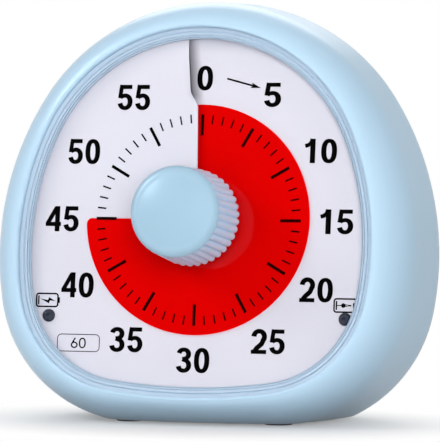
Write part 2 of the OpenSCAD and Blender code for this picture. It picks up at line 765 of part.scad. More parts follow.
module spindle_clip() {
    color(steel) on_dial() translate([0, 0, clip_front - clip_t]) difference() {
        cylinder(r = bush_r, h = clip_t);
        translate([0, 0, -1]) cylinder(r = groove_r + run_gap, h = clip_t + 2);
        translate([-1.6 * spindle_r / 2, 0, -1]) cube([1.6 * spindle_r, 2 * bush_r, clip_t + 2]);
    }
}

module spindle_gear() {
    color(nylon) on_dial() translate([0, 0, gear_back]) difference() {
        gear(spindle_teeth, idler_side, false, gear_w);
        translate([0, 0, -1]) flat_shaft(gear_w + 2, run_gap);
        translate([0, 0, -1]) rotate_extrude() polygon([
            [2 * spindle_r, 0], [pitch_r(spindle_teeth) - 3, 0],
            [pitch_r(spindle_teeth) - 3, 0.35 * gear_w + 1], [2 * spindle_r, 0.35 * gear_w + 1]]);
    }
}

module idler_gear() {
    hub_back = rear_plate_front + pass_gap;
    color(nylon) on_dial() translate([idler_at[0], idler_at[1], 0]) difference() {
        union() {
            translate([0, 0, gear_back])
                gear(idler_pinion_teeth, idler_side + 180, true, gear_w);
            translate([0, 0, wheel_back]) gear(idler_wheel_teeth, 270, false, gear_w);
            translate([0, 0, hub_back])
                cylinder(r = axle_r + 1.1, h = carrier_back - pass_gap - hub_back);
        }
        translate([0, 0, hub_back - 1])
            cylinder(r = axle_r + run_gap, h = carrier_back - hub_back + 2);
    }
}

module idler_axle() {
    color(steel) on_dial() translate([idler_at[0], idler_at[1], rear_plate_back])
        cylinder(r = axle_r, h = carrier_front - rear_plate_back);
}

module rear_plate() {
    color(nylon) on_dial() translate([0, 0, rear_plate_back]) difference() {
        linear_extrude(rear_plate_t) hull() {
            for (p = pillars) translate(p) circle(r = pillar_r + 2, $fn = 32);
            translate(motor_at) circle(r = motor_r + 1, $fn = 32);
        }
        rear_plate_hole([0, 0], journal_r + run_gap);
        rear_plate_hole(idler_at, axle_r + run_gap);
        rear_plate_hole(motor_at, motor_boss_r + fit_gap);
        for (p = concat(pillars, motor_screws)) rear_plate_hole(p, small_screw_r + fit_gap);
    }
}

// A hole through the rear plate, measured from the plate's back.
module rear_plate_hole(p, r) {
    translate([p[0], p[1], -1]) cylinder(r = r, h = rear_plate_t + 2);
}

module motor() {
    color(steel) on_dial() translate([motor_at[0], motor_at[1], 0]) difference() {
        union() {
            translate([0, 0, rear_plate_back - motor_l]) cylinder(r = motor_r, h = motor_l);
            translate([0, 0, rear_plate_back - 1]) cylinder(r = motor_boss_r, h = rear_plate_t + 1);
            translate([0, 0, rear_plate_back - motor_l - 1]) cylinder(r = 0.4 * motor_r, h = 2);
        }
        translate([0, 0, rear_plate_back - shaft_bite - 1])
            cylinder(r = motor_shaft_r + run_gap, h = shaft_bite + rear_plate_t + 2);
        for (x = [-motor_screw_x, motor_screw_x]) translate([x, 0, rear_plate_back - motor_bite - 1])
            cylinder(r = small_screw_r, h = motor_bite + 2);
    }
}

module motor_pinion() {
    back = wheel_back - 0.4;
    color(brass) on_dial() translate([motor_at[0], motor_at[1], 0]) {
        translate([0, 0, back]) gear(motor_teeth, 90, true, wheel_front - back);
        translate([0, 0, rear_plate_back - shaft_bite])
            cylinder(r = motor_shaft_r, h = wheel_front - rear_plate_back + shaft_bite + 0.5);
    }
}

// A screw with its head's seat at z = 0 and its shank upwards. The head has a cross recess.
module screw(r, l) {
    h = 1.1 * r;
    difference() {
        union() {
            cylinder(r = r - run_gap, h = l);
            translate([0, 0, -h]) cylinder(r = 2 * r, h = h);
        }
        for (a = [0, 90]) rotate([0, 0, a]) translate([-1.2 * r, -0.25 * r, -h - 1])
            cube([2.4 * r, 0.5 * r, 1 + 0.6 * h]);
    }
}

module carrier_screws() {
    color(steel) on_dial() for (p = carrier_spots) translate([p[0], p[1], carrier_back])
        screw(small_screw_r, plate_t + screw_bite - 0.5);
}

module movement_screws() {
    color(steel) on_dial() {
        for (p = pillars) translate([p[0], p[1], rear_plate_back])
            screw(small_screw_r, rear_plate_t + pillar_bite);
        for (p = motor_screws) translate([p[0], p[1], rear_plate_front]) rotate([180, 0, 0])
            screw(small_screw_r, rear_plate_t + motor_bite);
    }
}

module board_screws() {
    color(steel) for (s = board_spots) translate([s[0], board_back_y - board_t, s[1]])
        rotate([-90, 0, 0]) screw(small_screw_r, board_t + standoff - 1);
}

module housing_screws() {
    color(steel) for (s = screw_spots) translate([s[0], seam_y + counterbore, s[1]])
        rotate([90, 0, 0]) screw(screw_r, counterbore + housing_bite - 1);
}

// A lamp whose dome looks out of the dial and whose flange sits behind the carrier.
module lamp(p) {
    color(lamp_dark) on_dial() translate([p[0], p[1], 0]) {
        translate([0, 0, carrier_back - lamp_flange_t])
            cylinder(r = lamp_r, h = lamp_tip - lamp_r - carrier_back + lamp_flange_t);
        translate([0, 0, lamp_tip - lamp_r]) sphere(r = lamp_r);
        translate([0, 0, carrier_back - lamp_flange_t]) cylinder(r = lamp_r + 0.4, h = lamp_flange_t);
        for (x = [-lead_pitch / 2, lead_pitch / 2])
            translate([x - lead_w / 2, -lead_w / 2, carrier_back - lamp_flange_t - lead_l])
                cube([lead_w, lead_w, lead_l + lamp_flange_t / 2]);
    }
}

module charge_lamp() lamp(lamp_spots[0]);
module power_lamp() lamp(lamp_spots[1]);

// A block centred on [x, y] with rounded upright edges.
module round_block(w, l, h, r) {
    translate([-w / 2, -l / 2 + r, 0]) cube([w, l - 2 * r, h]);
    translate([-w / 2 + r, -l / 2, 0]) cube([w - 2 * r, l, h]);
    for (x = [-1, 1]) for (y = [-1, 1])
        translate([x * (w / 2 - r), y * (l / 2 - r), 0]) cylinder(r = r, h = h);
}

module battery() {
    color([0.6, 0.62, 0.66]) on_dial()
        translate([battery_at[0], battery_at[1], carrier_back - tray_t - battery_t])
            round_block(battery_w, battery_l, battery_t, battery_edge_r);
}

module battery_tray() {
    w = battery_w + 2 * (pass_gap + tray_t);
    l = battery_l + 2 * (pass_gap + tray_t);
    deep = tray_t + battery_t + tray_t;
    color(black) on_dial() translate([battery_at[0], battery_at[1], carrier_back - deep]) {
        difference() {
            translate([0, 0, deep - tray_t - tray_share * battery_t])
                round_block(w, l, tray_t + tray_share * battery_t, battery_edge_r + pass_gap + tray_t);
            translate([0, 0, -1])
                round_block(w - 2 * tray_t, l - 2 * tray_t, deep - tray_t + 1, battery_edge_r + pass_gap);
        }
        for (side = [-1, 1]) {
            translate([-hook_w / 2, side * (l - tray_t) / 2 - tray_t / 2, 0])
                cube([hook_w, tray_t, deep]);
            translate([-hook_w / 2, side * (l / 2 - tray_t) - tray_t, -pass_gap])
                cube([hook_w, 2 * tray_t, tray_t - pass_gap]);
        }
        for (x = [-peg_x, peg_x]) translate([x, 0, deep - 0.5]) cylinder(r = peg_r, h = plate_t + 0.5);
    }
}

module circuit_board() {
    board_front_y = board_back_y - board_t;
    color(board_green) difference() {
        union() {
            translate([-board_w / 2, board_front_y, board_z - board_h / 2])
                cube([board_w, board_t, board_h]);
            for (p = board_parts)
                translate([p[0][0] - p[1] / 2, board_front_y - p[3], board_z + p[0][1] - p[2] / 2])
                    cube([p[1], p[3] + part_bite, p[2]]);
        }
        for (s = board_spots)
            along_y(s, board_front_y - 1, board_back_y + 1, small_screw_r + fit_gap);
    }
}

// A socket shell with a tongue, mounted upright on the board and ending in the cover's slot.
module charge_socket() {
    end = back_y - pass_gap;
    color(steel) {
        difference() {
            rounded_slot([port_x, port_z], socket_w, socket_h, board_back_y, end);
            rounded_slot([port_x, port_z], socket_w - 2 * socket_skin, socket_h - 2 * socket_skin,
                         board_back_y + 1, end + 1);
        }
        translate([port_x - tongue_w / 2, board_back_y + part_bite, port_z - tongue_t / 2])
            cube([tongue_w, end - board_back_y - 1.5, tongue_t]);
    }
}

module volume_switch() {
    slot_w = 2 * (slider_travel + pass_gap) + stem_w;
    slot_h = stem_h + 2 * pass_gap;
    w = slot_w + 2 * (switch_frame - pass_gap);
    h = slot_h + 2 * (switch_frame - pass_gap);
    color(steel) difference() {
        translate([slider_x - w / 2, board_back_y, port_z - h / 2]) cube([w, switch_t, h]);
        translate([slider_x - slot_w / 2, board_back_y + 1, port_z - slot_h / 2])
            cube([slot_w, switch_t, slot_h]);
    }
}

module volume_slider() {
    cap_y = board_back_y + switch_t + pass_gap;
    color(black) {
        translate([slider_x - stem_w / 2, board_back_y + 1 + pass_gap, port_z - stem_h / 2])
            cube([stem_w, switch_t, stem_h]);
        translate([slider_x - slider_w / 2, cap_y, port_z - slider_h / 2])
            cube([slider_w, back_y + slider_out - ridge_h - cap_y, slider_h]);
        for (k = [-1:1])
            translate([slider_x + k * ridge_pitch - ridge_w / 2, cap_y, port_z - slider_h / 2])
                cube([ridge_w, back_y + slider_out - cap_y, slider_h]);
    }
}

module speaker() {
    color(black) translate([0, cover_inside_y, speaker_z]) rotate([90, 0, 0]) rotate_extrude() polygon([
        [0, 1.6], [0.35 * speaker_r, 1.6], [0.8 * speaker_r, 0.6], [0.86 * speaker_r, 0],
        [speaker_r, 0], [speaker_r, speaker_t - 1], [0.6 * speaker_r, speaker_t],
        [0.6 * speaker_r, speaker_t + 3], [0, speaker_t + 3]]);
}

module feet() {
    h = foot_h + foot_recess;
    color(rubber_grey) for (x = [-foot_x, foot_x]) for (y = foot_y) translate([x, y, 0])
        rotate_extrude() polygon([[0, 0], [foot_r - 0.4, 0], [foot_r, 0.4], [foot_r, h], [0, h]]);
}

front_housing();
rear_cover();
lens();
dial_sheet();
dial_seat();
dial_carrier();
red_film();
film_hub();
knob();
spindle();
spindle_clip();
spindle_gear();
spindle_bush();
idler_gear();
idler_axle();
rear_plate();
motor();
motor_pinion();
carrier_screws();
movement_screws();
charge_lamp();
power_lamp();
battery();
battery_tray();
circuit_board();
board_screws();
charge_socket();
volume_switch();
volume_slider();
speaker();
housing_screws();
feet();
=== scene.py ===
"""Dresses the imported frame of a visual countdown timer: shells, window, printed dial, red film,
ribbed knob, lamps, the fittings of the back and the stage."""

import json
from math import asin, atan2, copysign, cos, degrees, hypot, pi, radians, sin, sqrt

import bmesh
import bpy
from bpy.props import FloatProperty, FloatVectorProperty, IntProperty, PointerProperty
from mathutils import Matrix, Vector


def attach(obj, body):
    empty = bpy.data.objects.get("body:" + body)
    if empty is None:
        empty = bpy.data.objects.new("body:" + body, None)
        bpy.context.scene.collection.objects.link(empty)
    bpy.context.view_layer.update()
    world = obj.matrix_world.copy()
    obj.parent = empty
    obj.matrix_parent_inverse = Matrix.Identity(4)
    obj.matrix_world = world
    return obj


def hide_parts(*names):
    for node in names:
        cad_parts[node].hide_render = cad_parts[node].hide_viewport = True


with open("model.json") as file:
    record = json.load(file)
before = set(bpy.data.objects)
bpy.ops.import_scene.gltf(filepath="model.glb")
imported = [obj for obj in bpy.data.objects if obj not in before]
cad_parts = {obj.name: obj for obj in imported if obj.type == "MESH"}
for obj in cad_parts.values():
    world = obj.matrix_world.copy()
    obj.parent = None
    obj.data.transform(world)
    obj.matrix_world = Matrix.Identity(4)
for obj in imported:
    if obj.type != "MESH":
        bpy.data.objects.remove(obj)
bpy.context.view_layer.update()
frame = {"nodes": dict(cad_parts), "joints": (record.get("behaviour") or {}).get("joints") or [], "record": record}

bl_info = {
    "name": "Visual Countdown Timer",
    "version": (1, 0, 0),
    "blender": (4, 5, 0),
    "location": "3D View > Sidebar > Timer",
    "description": "Builds the looks of a desk countdown timer around its packed frame",
    "category": "Object",
}

# Lengths are in millimetres and angles in degrees, unless a line says otherwise.
MM = 0.001

# The dial's own frame: its middle and its lean come from the knob's joint.
KNOB_JOINT = next(j for j in frame["joints"] if j["name"] == "knob_turn")
DIAL_MIDDLE = Vector(KNOB_JOINT["pos_m"])
OUT = Vector(KNOB_JOINT["axis"]).normalized()
ACROSS = Vector((1, 0, 0))
UPWARD = OUT.cross(ACROSS)
LEAN = asin(OUT.z)

# Outlines of the window and of the body's two ends, as on the drawing: radii of crown, flank and
# corner with the headings at which one arc turns into the next, clockwise from the top, and then
# the top's height.
WINDOW = (57.9, 67.2, 98.9, 100.1, 37.9, 172.0, 64.2)
FRONT_END = (66.9, 57.6, 97.8, 100.9, 46.8, 177.4, 72.4)
REAR_END = (70.0, 57.6, 102.8, 100.9, 51.8, 177.4, 72.7)
ARC_SHARES = (11, 6, 10, 3)

# The two shells.
RIM_HEIGHT = 6.5
RIM_DEPTH = 18.0
RIM_STEPS = 26
FLANK_DEPTH = 22.0
BACK_DEPTH = 14.0
BACK_REACH = 15.0
WALL = 2.2
SEAM_SHARE = 0.87
FOOT_HEIGHT = 0.6
BODY_DEPTH = RIM_DEPTH + FLANK_DEPTH + BACK_DEPTH
FLANK_END = RIM_DEPTH + FLANK_DEPTH
SEAM_DEPTH = SEAM_SHARE * BODY_DEPTH
OUTER_RINGS = (24, 30, 36, FLANK_END, 43)
INNER_RINGS = (SEAM_DEPTH, FLANK_END, 30, RIM_DEPTH)

# The pocket behind the opening and the ledge under the window, as steps inwards from the
# window's outline and heights over the dial. The ledge runs out over its grooves and its bead.
POCKET_PROFILE = ((-4.5, -4.37), (1.2, -4.37), (1.2, 1.3))
LEDGE_PROFILE = (
    (2.3, 1.3), (2.6, 1.75), (3.5, 2.0), (3.6, 2.2), (3.6, 3.3), (3.5, 3.45), (3.42, 3.45),
    (3.38, 2.85), (3.1, 2.85), (3.05, 3.6), (2.75, 3.7), (2.68, 3.15), (2.42, 3.15),
    (2.36, 3.7), (2.0, 3.75), (1.76, 3.88), (1.55, 3.75), (1.45, 3.2), (1.2, 3.2), (1.1, 3.5),
)
LEDGE_HEIGHT = 4.0
LEDGE_LOW = 1.0
LEDGE_MARGIN = 0.1
LEDGE_REACH = 3.7

# The window.
LENS_THICKNESS = 1.5
LENS_GAP = 0.15
LENS_LIFT = 0.02
LENS_EDGE = 0.25
LENS_HOLE = 7.5

# The dial sheet and the flap beside its slit, which leans, and curls up at its free edge.
SLIT_RISE = 1.6
SLIT_OVERLAP = 8.0
SHEET_THICKNESS = 0.4
HALF_SHEET = SHEET_THICKNESS / 2
DIAL_HOLE = 5.6
DIAL_INSET = 1.5
DIAL_STEPS = 184
DIAL_RINGS = (16, 26, 33, 36)
FLAP_ZONE = 10.0
FLAP_STEP = 40.6
FLAP_BLEND = 3.0
FLAP_LEAN = 2.0
FLAP_SWEEP = 3.2
FLAP_CURL = 0.9
FLAP_CURLED = 2.6
FLAP_FLAT = 6.0
CURL_OVER_FILM = 0.35
CURL_START = 0.4
CURL_BLEND = 2.5

# A dark wall under the flap, which stands in for the shade in the space below it, a painted shade: its ends clear
# of the film and the ledge, its two sides behind the flap's edge, and its play over and under.
GAP_FROM_FILM = 0.9
GAP_FROM_LEDGE = 0.5
GAP_HEADING = 355
GAP_STEPS = 14
GAP_SIDES = (-0.5, -0.35)
GAP_PLAY = 0.03

# A painted shadow beside the flap, laid into the dial's colour: along each axis, where it starts and ends, and its
# strength there.
SLIT_PAINTED_SHADOW = (
    (0.9925 * ACROSS + 0.122 * UPWARD, 1.0, 5.4, 0.8, 0.0),
    (UPWARD, 38.0, 42.0, 0.0, 1.0),
    (OUT, -0.3, 0.3, 1.0, 0.0),
)
# Colour of the painted shadow beside the flap.
PAINTED_SHADOW_COLOUR = (0.06, 0.05, 0.06, 1)

# The film. It shows 45 minutes at rest.
FILM_RADIUS = 38.7
FILM_RINGS = (14, 22, 30, 36)
FILM_THICKNESS = 0.25
FILM_SPAN = 367.0
FILM_STEPS = 180
FILM_CORNER = 2.0
FILM_SHOWN = 270.0
HUB_RADIUS = 5.05

# The knob. Its hollow is given as radii and heights over its foot.
KNOB_RADIUS = 16.0
KNOB_LENGTH = 22.0
KNOB_STEPS = 14
KNOB_TAPER = 0.7
KNOB_DOME = 2.0
KNOB_GAP = 1.0
KNOB_SHOULDER = 3.2
KNOB_FLARE = 0.3
KNOB_FOOT = 0.25
KNOB_HOLLOW = ((12.9, 18.0), (13.3, 0.3), (13.6, 0.0))
RIBS = 38
RIB_DEPTH = 0.95
RIB_ROUND = 0.6
RIB_INNER = 14.0
RIB_TOP = KNOB_LENGTH - 2.3
RIB_FADE = 1.0
# Where the ribs take their lighter colour, a painted light: from this radius outwards and below this height.
RIB_PAINT_INNER = 13.8
RIB_PAINT_TOP = KNOB_LENGTH - 2.4

# The lamps: name of the node, and place across and up the dial.
LAMP_PLACES = (("charge_lamp", -51.0, -33.0), ("power_lamp", 51.9, -32.4))
LAMP_RADIUS = 2.2
LAMP_DOME = 1.6
LAMP_FOOT = -6.0
LAMP_COLLAR = 0.1

# The print: ticks as near end, far end and width.
MAJOR_TICK = (28.4, 35.5, 1.05)
MINOR_TICK = (32.4, 35.4, 0.54)
PEN = (0.21, 0.168)
THIN_PEN = (0.13, 0.13)
DIGIT_WIDTH = 0.64
DIGIT_PITCH = 0.74
# Text, middle across and up the dial, width and height.
NUMERALS = (
    ("0", 0.30, 47.75, 5.5, 8.35), ("5", 24.07, 42.15, 5.95, 8.3),
    ("10", 41.4, 23.44, 11.2, 8.3), ("15", 47.75, -0.1, 11.5, 8.35),
    ("20", 41.69, -22.81, 11.40, 8.25), ("25", 25.89, -40.25, 11.6, 8.35),
    ("30", 0.17, -47.05, 11.55, 8.45), ("35", -23.4, -40.60, 11.65, 8.5),
    ("40", -41.28, -22.56, 11.42, 8.47), ("45", -47.7, -0.24, 11.75, 8.65),
    ("50", -40.85, 22.6, 11.25, 8.6), ("55", -24.0, 41.0, 11.5, 8.7),
)
FRAMED_MINUTES = ("60", -40.16, -42.05, 5.3, 3.6)
MINUTES_BOX = (-47.58, -32.75, -44.9, -39.2, 1.35)
MINUTES_LINE = 0.28
ARROW_TAIL = Vector((8.0, 47.6))
ARROW_TIP = Vector((19.93, 44.42))
ARROW_LINE = 0.62
ARROW_STOP = 2.5
ARROW_NOTCH = 2.9
ARROW_HEAD = 3.6
ARROW_HALF = 0.95
# Left and right end of the two battery signs, and their shared height.
SIGNS = ((-55.62, -48.05), (48.0, 55.62))
SIGN_LOW = -30.02
SIGN_HIGH = -25.64
SIGN_MIDDLE = -27.83
SIGN_LINE = 0.54

# Finishes.
NOISE_MIDDLE = (0.3, 0.7)
GLOSS_DRIFT = 0.12
SKIN_TINT = (0.5, 0.66, 0.8, 1.0)
WINDOW_TINT = (0.998, 0.999, 1.0, 1.0)
WINDOW_IOR = 1.3
# The film lets its red through a little stronger than it falls on it: a painted glow.
FILM_PAINTED_GLOW = 1.036
FILM_SKIN = (0.72, 0.002, 0.003)
FILM_SKIN_SHARE = 0.012

# The stage, in metres and watts. Name, place, width and height, power, and whether plain and
# glossy surfaces show it, for each soft lamp. They all face the dial's middle.
LAMPS = (
    ("Front left", (-0.55, -1.35, 0.45), (0.8, 0.8), 1.4, True, False),
    ("Front right", (0.45, -1.4, 0.35), (0.6, 0.8), 11.3, True, False),
    ("Low", (0.45, -1.15, 0.16), (0.7, 0.25), 2.2, True, False),
    ("Key", (-1.1, -0.75, 0.95), (0.5, 0.5), 5.2, True, False),
    ("Key shine", (-1.1, -0.75, 0.95), (0.5, 0.5), 26.0, False, True),
    ("Right", (1.3, -0.5, 0.4), (0.3, 0.8), 2.8, True, False),
    ("Back", (-0.3, 1.2, 0.9), (0.9, 0.7), 5.6, True, True),
)
AMBIENT = 0.4
AMBIENT_COLOUR = (0.95, 0.97, 1.0, 1)
WHITE = (1, 1, 1, 1)
# Each fade holds where it starts and ends, and its values there.
ROOM_FRONT = Vector((-0.2865, -0.9312, 0.2254)).normalized()
ROOM_FADE = (0.72, 0.96, 1.0, 0.02)
FLOOR_REACH = 3.0
FLOOR_SEEN = (0.86, 0.86, 0.86, 1)
GREY_SIDE = (0.85, 0.5, 0.0)
GREY_FADE = (-0.03, 0.13, 0.78, 0.28)
# Under the timer the card is darker for bounced light, a painted shade that darkens the base's lower edge.
UNDER_PAINTED_SHADE = (0.03, 0.055, 0.4, 1.0)
WHITE_FADE = (0.025, 0.068, 0.25, 1.0)
WHITE_SQUEEZE = (0.62, 1.0, 1.0)
CAMERA_TURN = 16.66
CAMERA_RISE = 2.294
CAMERA_LENS = 304.7
# To the right, up and back from the dial's middle, in millimetres.
CAMERA_PLACE = (7.301, -0.439, 1248.68)


# ---------------------------------------------------------------- drawing


def held(value, start, end):
    """How far a value is on its way from start to end, held between 0 and 1."""
    return min(1.0, max(0.0, (value - start) / (end - start)))


def round_off(share):
    """Drop of a quarter circle at a share of its radius."""
    return 1 - sqrt(1 - share * share)


def heading(angle):
    """Unit step towards a compass heading, in degrees clockwise from the top."""
    return Vector((sin(radians(angle)), cos(radians(angle))))


def arcs_of(shape):
    """Middle and radius of the four tangent arcs of an outline's right half."""
    crown, turn_1, flank, turn_2, corner, turn_3, top = shape
    c_1 = Vector((0, top - crown))
    c_2 = c_1 + (crown - flank) * heading(turn_1)
    c_3 = c_2 + (flank - corner) * heading(turn_2)
    base = corner + c_3.x / sin(radians(turn_3))
    c_4 = c_3 + (corner - base) * heading(turn_3)
    return ((c_1, crown), (c_2, flank), (c_3, corner), (c_4, base))


def outline(shape, grow, fineness):
    """Points round an outline, clockwise seen from the front, grown outwards."""
    turns = (0, shape[1], shape[3], shape[5], 180)
    half = []
    for part, (middle, radius) in enumerate(arcs_of(shape)):
        steps = ARC_SHARES[part] * fineness
        for i in range(steps):
            angle = turns[part] + (turns[part + 1] - turns[part]) * i / steps
            half.append(middle + (radius + grow) * heading(angle))
    middle, radius = arcs_of(shape)[3]
    half.append(middle + (radius + grow) * heading(180))
    return half + [Vector((-p.x, p.y)) for p in half[-2:0:-1]]


def reach(shape, grow, angle):
    """Distance from the dial's middle to the grown outline at a clockwise angle."""
    turn = abs((angle + 540) % 360 - 180)
    arcs = arcs_of(shape)
    part = 0
    for k, limit in enumerate((shape[1], shape[3], shape[5])):
        middle, radius = arcs[k]
        joint = middle + (radius + grow) * heading(limit)
        if turn >= degrees(atan2(joint.x, joint.y)):
            part = k + 1
    middle, radius = arcs[part]
    along = middle.dot(heading(turn))
    return along + sqrt((radius + grow) ** 2 - middle.length_squared + along * along)


def on_dial(x, y, h):
    """A point of the dial's frame as a place in the scene."""
    return DIAL_MIDDLE + (ACROSS * x + UPWARD * y + OUT * h) * MM


def round_dial(radius, angle, h, aside=0.0):
    """A point of the dial at a radius and a clockwise angle, moved aside to the right."""
    step = radius * heading(angle)
    return on_dial(step.x + aside, step.y, h)


def flat_ring(points, h):
    return [on_dial(p.x, p.y, h) for p in points]


def body_at(depth):
    """Outline of the body at a depth. It grows evenly from the front to the back."""
    share = depth / BODY_DEPTH
    return tuple(a + (b - a) * share for a, b in zip(FRONT_END, REAR_END))


def skin_ring(points, depth, base):
    """A ring of a shell's skin: an outline carried straight back, with its lean fading out."""
    share = depth / BODY_DEPTH
    lift = RIM_HEIGHT * sin(LEAN)
    front = RIM_HEIGHT * cos(LEAN)
    return [
        Vector((
            p.x * MM,
            DIAL_MIDDLE.y + (p.y * sin(LEAN) * (1 - share) - front + depth) * MM,
            max(base * MM, DIAL_MIDDLE.z + (p.y * cos(LEAN) + lift) * MM),
        ))
        for p in points
    ]


def rim_ring(turn, fineness):
    """The rounded rim, from the window's edge at 0 to the flank at 90 degrees."""
    depth = RIM_DEPTH * (1 - cos(radians(turn)))
    near = outline(WINDOW, 0, fineness)
    far = outline(body_at(depth), 0, fineness)
    points = [a.lerp(b, sin(radians(turn))) for a, b in zip(near, far)]
    return skin_ring(points, depth, FOOT_HEIGHT)


def back_inset(depth, wall=0.0):
    """Inward reach of the rounded back at a depth."""
    share = held(depth, FLANK_END, FLANK_END + BACK_DEPTH - wall)
    return wall + (BACK_REACH - wall) * round_off(share)


def body_ring(depth, wall, fineness):
    points = outline(body_at(depth), -back_inset(depth, wall), fineness)
    return skin_ring(points, depth, FOOT_HEIGHT + wall)


def dial_rise(angle):
    """Height of the dial's middle surface at a clockwise angle from its slit."""
    return SLIT_RISE * (angle / 360 - 0.5)


def flap_turn(radius):
    """How far the flap's free edge falls short of a full turn."""
    share = held(radius, FLAP_STEP - FLAP_BLEND, FLAP_STEP + FLAP_BLEND)
    return FLAP_LEAN + FLAP_SWEEP * share * share * (3 - 2 * share)


def flap_curl(radius, limit):
    """Height of the flap's free edge over its sheet: low where the film passes over it, and none
    under the ledge, which starts at the limit."""
    start = FILM_RADIUS + CURL_START
    clear = held(radius, start, start + CURL_BLEND)
    free = held(radius, limit, limit - FLAP_FLAT)
    return FLAP_CURL * (CURL_OVER_FILM + (1 - CURL_OVER_FILM) * clear) * free


# ---------------------------------------------------------------- mesh work


def sweep(bm, rows, closed=False):
    """Extrudes a row of points through the rows that follow. A closed row is a ring."""
    first = [bm.verts.new(p) for p in rows[0]]
    edges = [bm.edges.new(pair) for pair in zip(first, first[1:])]
    if closed:
        edges.append(bm.edges.new((first[-1], first[0])))
    place = {v: i for i, v in enumerate(first)}
    for row in rows[1:]:
        made = bmesh.ops.extrude_edge_only(bm, edges=edges)["geom"]
        fresh = [g for g in made if isinstance(g, bmesh.types.BMVert)]
        following = {}
        for v in fresh:
            source = next(e.other_vert(v) for e in v.link_edges if e.other_vert(v) in place)
            following[v] = place[source]
        for v, i in following.items():
            v.co = row[i]
        edges = [
            g for g in made
            if isinstance(g, bmesh.types.BMEdge) and all(v in following for v in g.verts)
        ]
        place = following


def merge(bm, distance=1e-6):
    bmesh.ops.remove_doubles(bm, verts=bm.verts, dist=distance)


def turn_outwards(bm):
    bmesh.ops.recalc_face_normals(bm, faces=bm.faces)


def close_skin(bm, rings):
    """A closed skin through rings of points, the last of which is the first again."""
    sweep(bm, rings, closed=True)
    merge(bm)
    turn_outwards(bm)


def thicken(bm, step):
    """Gives a sheet its thickness by a step away from all its faces."""
    made = bmesh.ops.extrude_face_region(bm, geom=bm.faces[:])["geom"]
    raised = [g for g in made if isinstance(g, bmesh.types.BMVert)]
    bmesh.ops.translate(bm, vec=step, verts=raised)
    turn_outwards(bm)


def turned(profile, steps):
    """A bmesh turned as on a lathe from a profile of radii and heights."""
    bm = bmesh.new()
    line = [bm.verts.new((0, r, z)) for r, z in profile]
    edges = [bm.edges.new(pair) for pair in zip(line, line[1:])]
    bmesh.ops.spin(bm, geom=line + edges, cent=(0, 0, 0), axis=(0, 0, 1), angle=2 * pi,
                   steps=steps, use_merge=True, use_duplicate=False)
    merge(bm, 1e-4)
    return bm


def stand_on_dial(bm, x, y, h):
    """Moves a bmesh from the origin to a place of the dial, its axis along the dial's."""
    for v in bm.verts:
        v.co = on_dial(x + v.co.x, y + v.co.y, h + v.co.z)


def object_from(name, bm):
    mesh = bpy.data.meshes.new(name)
    bm.to_mesh(mesh)
    bm.free()
    made = bpy.data.objects.new(name, mesh)
    bpy.context.scene.collection.objects.link(made)
    return made


def piece_from(name, bm, body, replaced, materials, crease=35.0):
    """Closes a bmesh into a piece that rides on a body, smooth up to an angle of its edges."""
    for face in bm.faces:
        face.smooth = True
    for edge in bm.edges:
        if len(edge.link_faces) == 2 and edge.calc_face_angle(0.0) > radians(crease):
            edge.smooth = False
    piece = object_from(name, bm)
    for material in materials:
        piece.data.materials.append(material)
    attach(piece, body)
    if replaced:
        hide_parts(*replaced)


def node_copy(node):
    """A bmesh of a CAD node's mesh, its loose triangles merged."""
    bm = bmesh.new()
    bm.from_mesh(frame["nodes"][node].data)
    merge(bm)
    bmesh.ops.dissolve_limit(
        bm, angle_limit=radians(0.2), verts=bm.verts, edges=bm.edges, delimit={"NORMAL"}
    )
    return bm


# ---------------------------------------------------------------- finishes


def linear(red, green, blue):
    """A screen colour of 0 to 255 as scene light."""
    def one(c):
        c = c / 255
        return c / 12.92 if c <= 0.04045 else ((c + 0.055) / 1.055) ** 2.4
    return (one(red), one(green), one(blue), 1.0)


def blank_material(name):
    material = bpy.data.materials.new(name)
    material.use_nodes = True
    material.node_tree.nodes.clear()
    return material, material.node_tree


def add_node(tree, kind, inputs=None, **settings):
    """A new node. Its settings are made first, and its inputs then take values or links."""
    node = tree.nodes.new("ShaderNode" + kind)
    for name, value in settings.items():
        setattr(node, name, value)
    for name, value in (inputs or {}).items():
        if isinstance(value, bpy.types.NodeSocket):
            tree.links.new(value, node.inputs[name])
        else:
            node.inputs[name].default_value = value
    return node


def noise(tree, scale, detail=3.0, roughness=0.5):
    place = add_node(tree, "TexCoord").outputs["Object"]
    field = add_node(tree, "TexNoise", {
        "Vector": place, "Scale": scale, "Detail": detail, "Roughness": roughness,
    })
    return field.outputs["Fac"]


def ramp(tree, source, start, end, low, high, smooth=False):
    """Maps a value so that start gives low and end gives high, held beyond both."""
    step = add_node(tree, "MapRange", {
        "Value": source, "From Min": start, "From Max": end, "To Min": low, "To Max": high,
    }, interpolation_type="SMOOTHSTEP" if smooth else "LINEAR")
    return step.outputs["Result"]


def spread(tree, source, low, high):
    """Maps the middle of a noise onto a range."""
    return ramp(tree, source, *NOISE_MIDDLE, low, high)


def distance_along(tree, place, axis):
    """How far a place lies along an axis."""
    product = add_node(tree, "VectorMath", {0: place, 1: axis}, operation="DOT_PRODUCT")
    return product.outputs["Value"]


def combined(tree, operation, *sources):
    """Folds values together with one kind of math node."""
    total = sources[0]
    for other in sources[1:]:
        total = add_node(tree, "Math", {0: total, 1: other}, operation=operation).outputs[0]
    return total


def toned(tree, share, first, second):
    """A colour that turns from the first to the second as the share rises to 1."""
    mix = add_node(tree, "Mix", {"Factor": share, "A": first, "B": second}, data_type="RGBA")
    return mix.outputs["Result"]


def tinted(tree, source, colour, change, most=1.0):
    """A colour that drifts a little darker and lighter with a noise."""
    dark = tuple(c * (1 - change) for c in colour[:3]) + (1.0,)
    pale = tuple(min(most, c * (1 + change)) for c in colour[:3]) + (1.0,)
    return toned(tree, source, dark, pale)


def surface_mix(tree, share, first, second, kind="OutputMaterial"):
    """A surface that turns from the first shader to the second as the share rises to 1."""
    mix = add_node(tree, "MixShader", {"Fac": share, 1: first.outputs[0], 2: second.outputs[0]})
    add_node(tree, kind, {"Surface": mix.outputs["Shader"]})


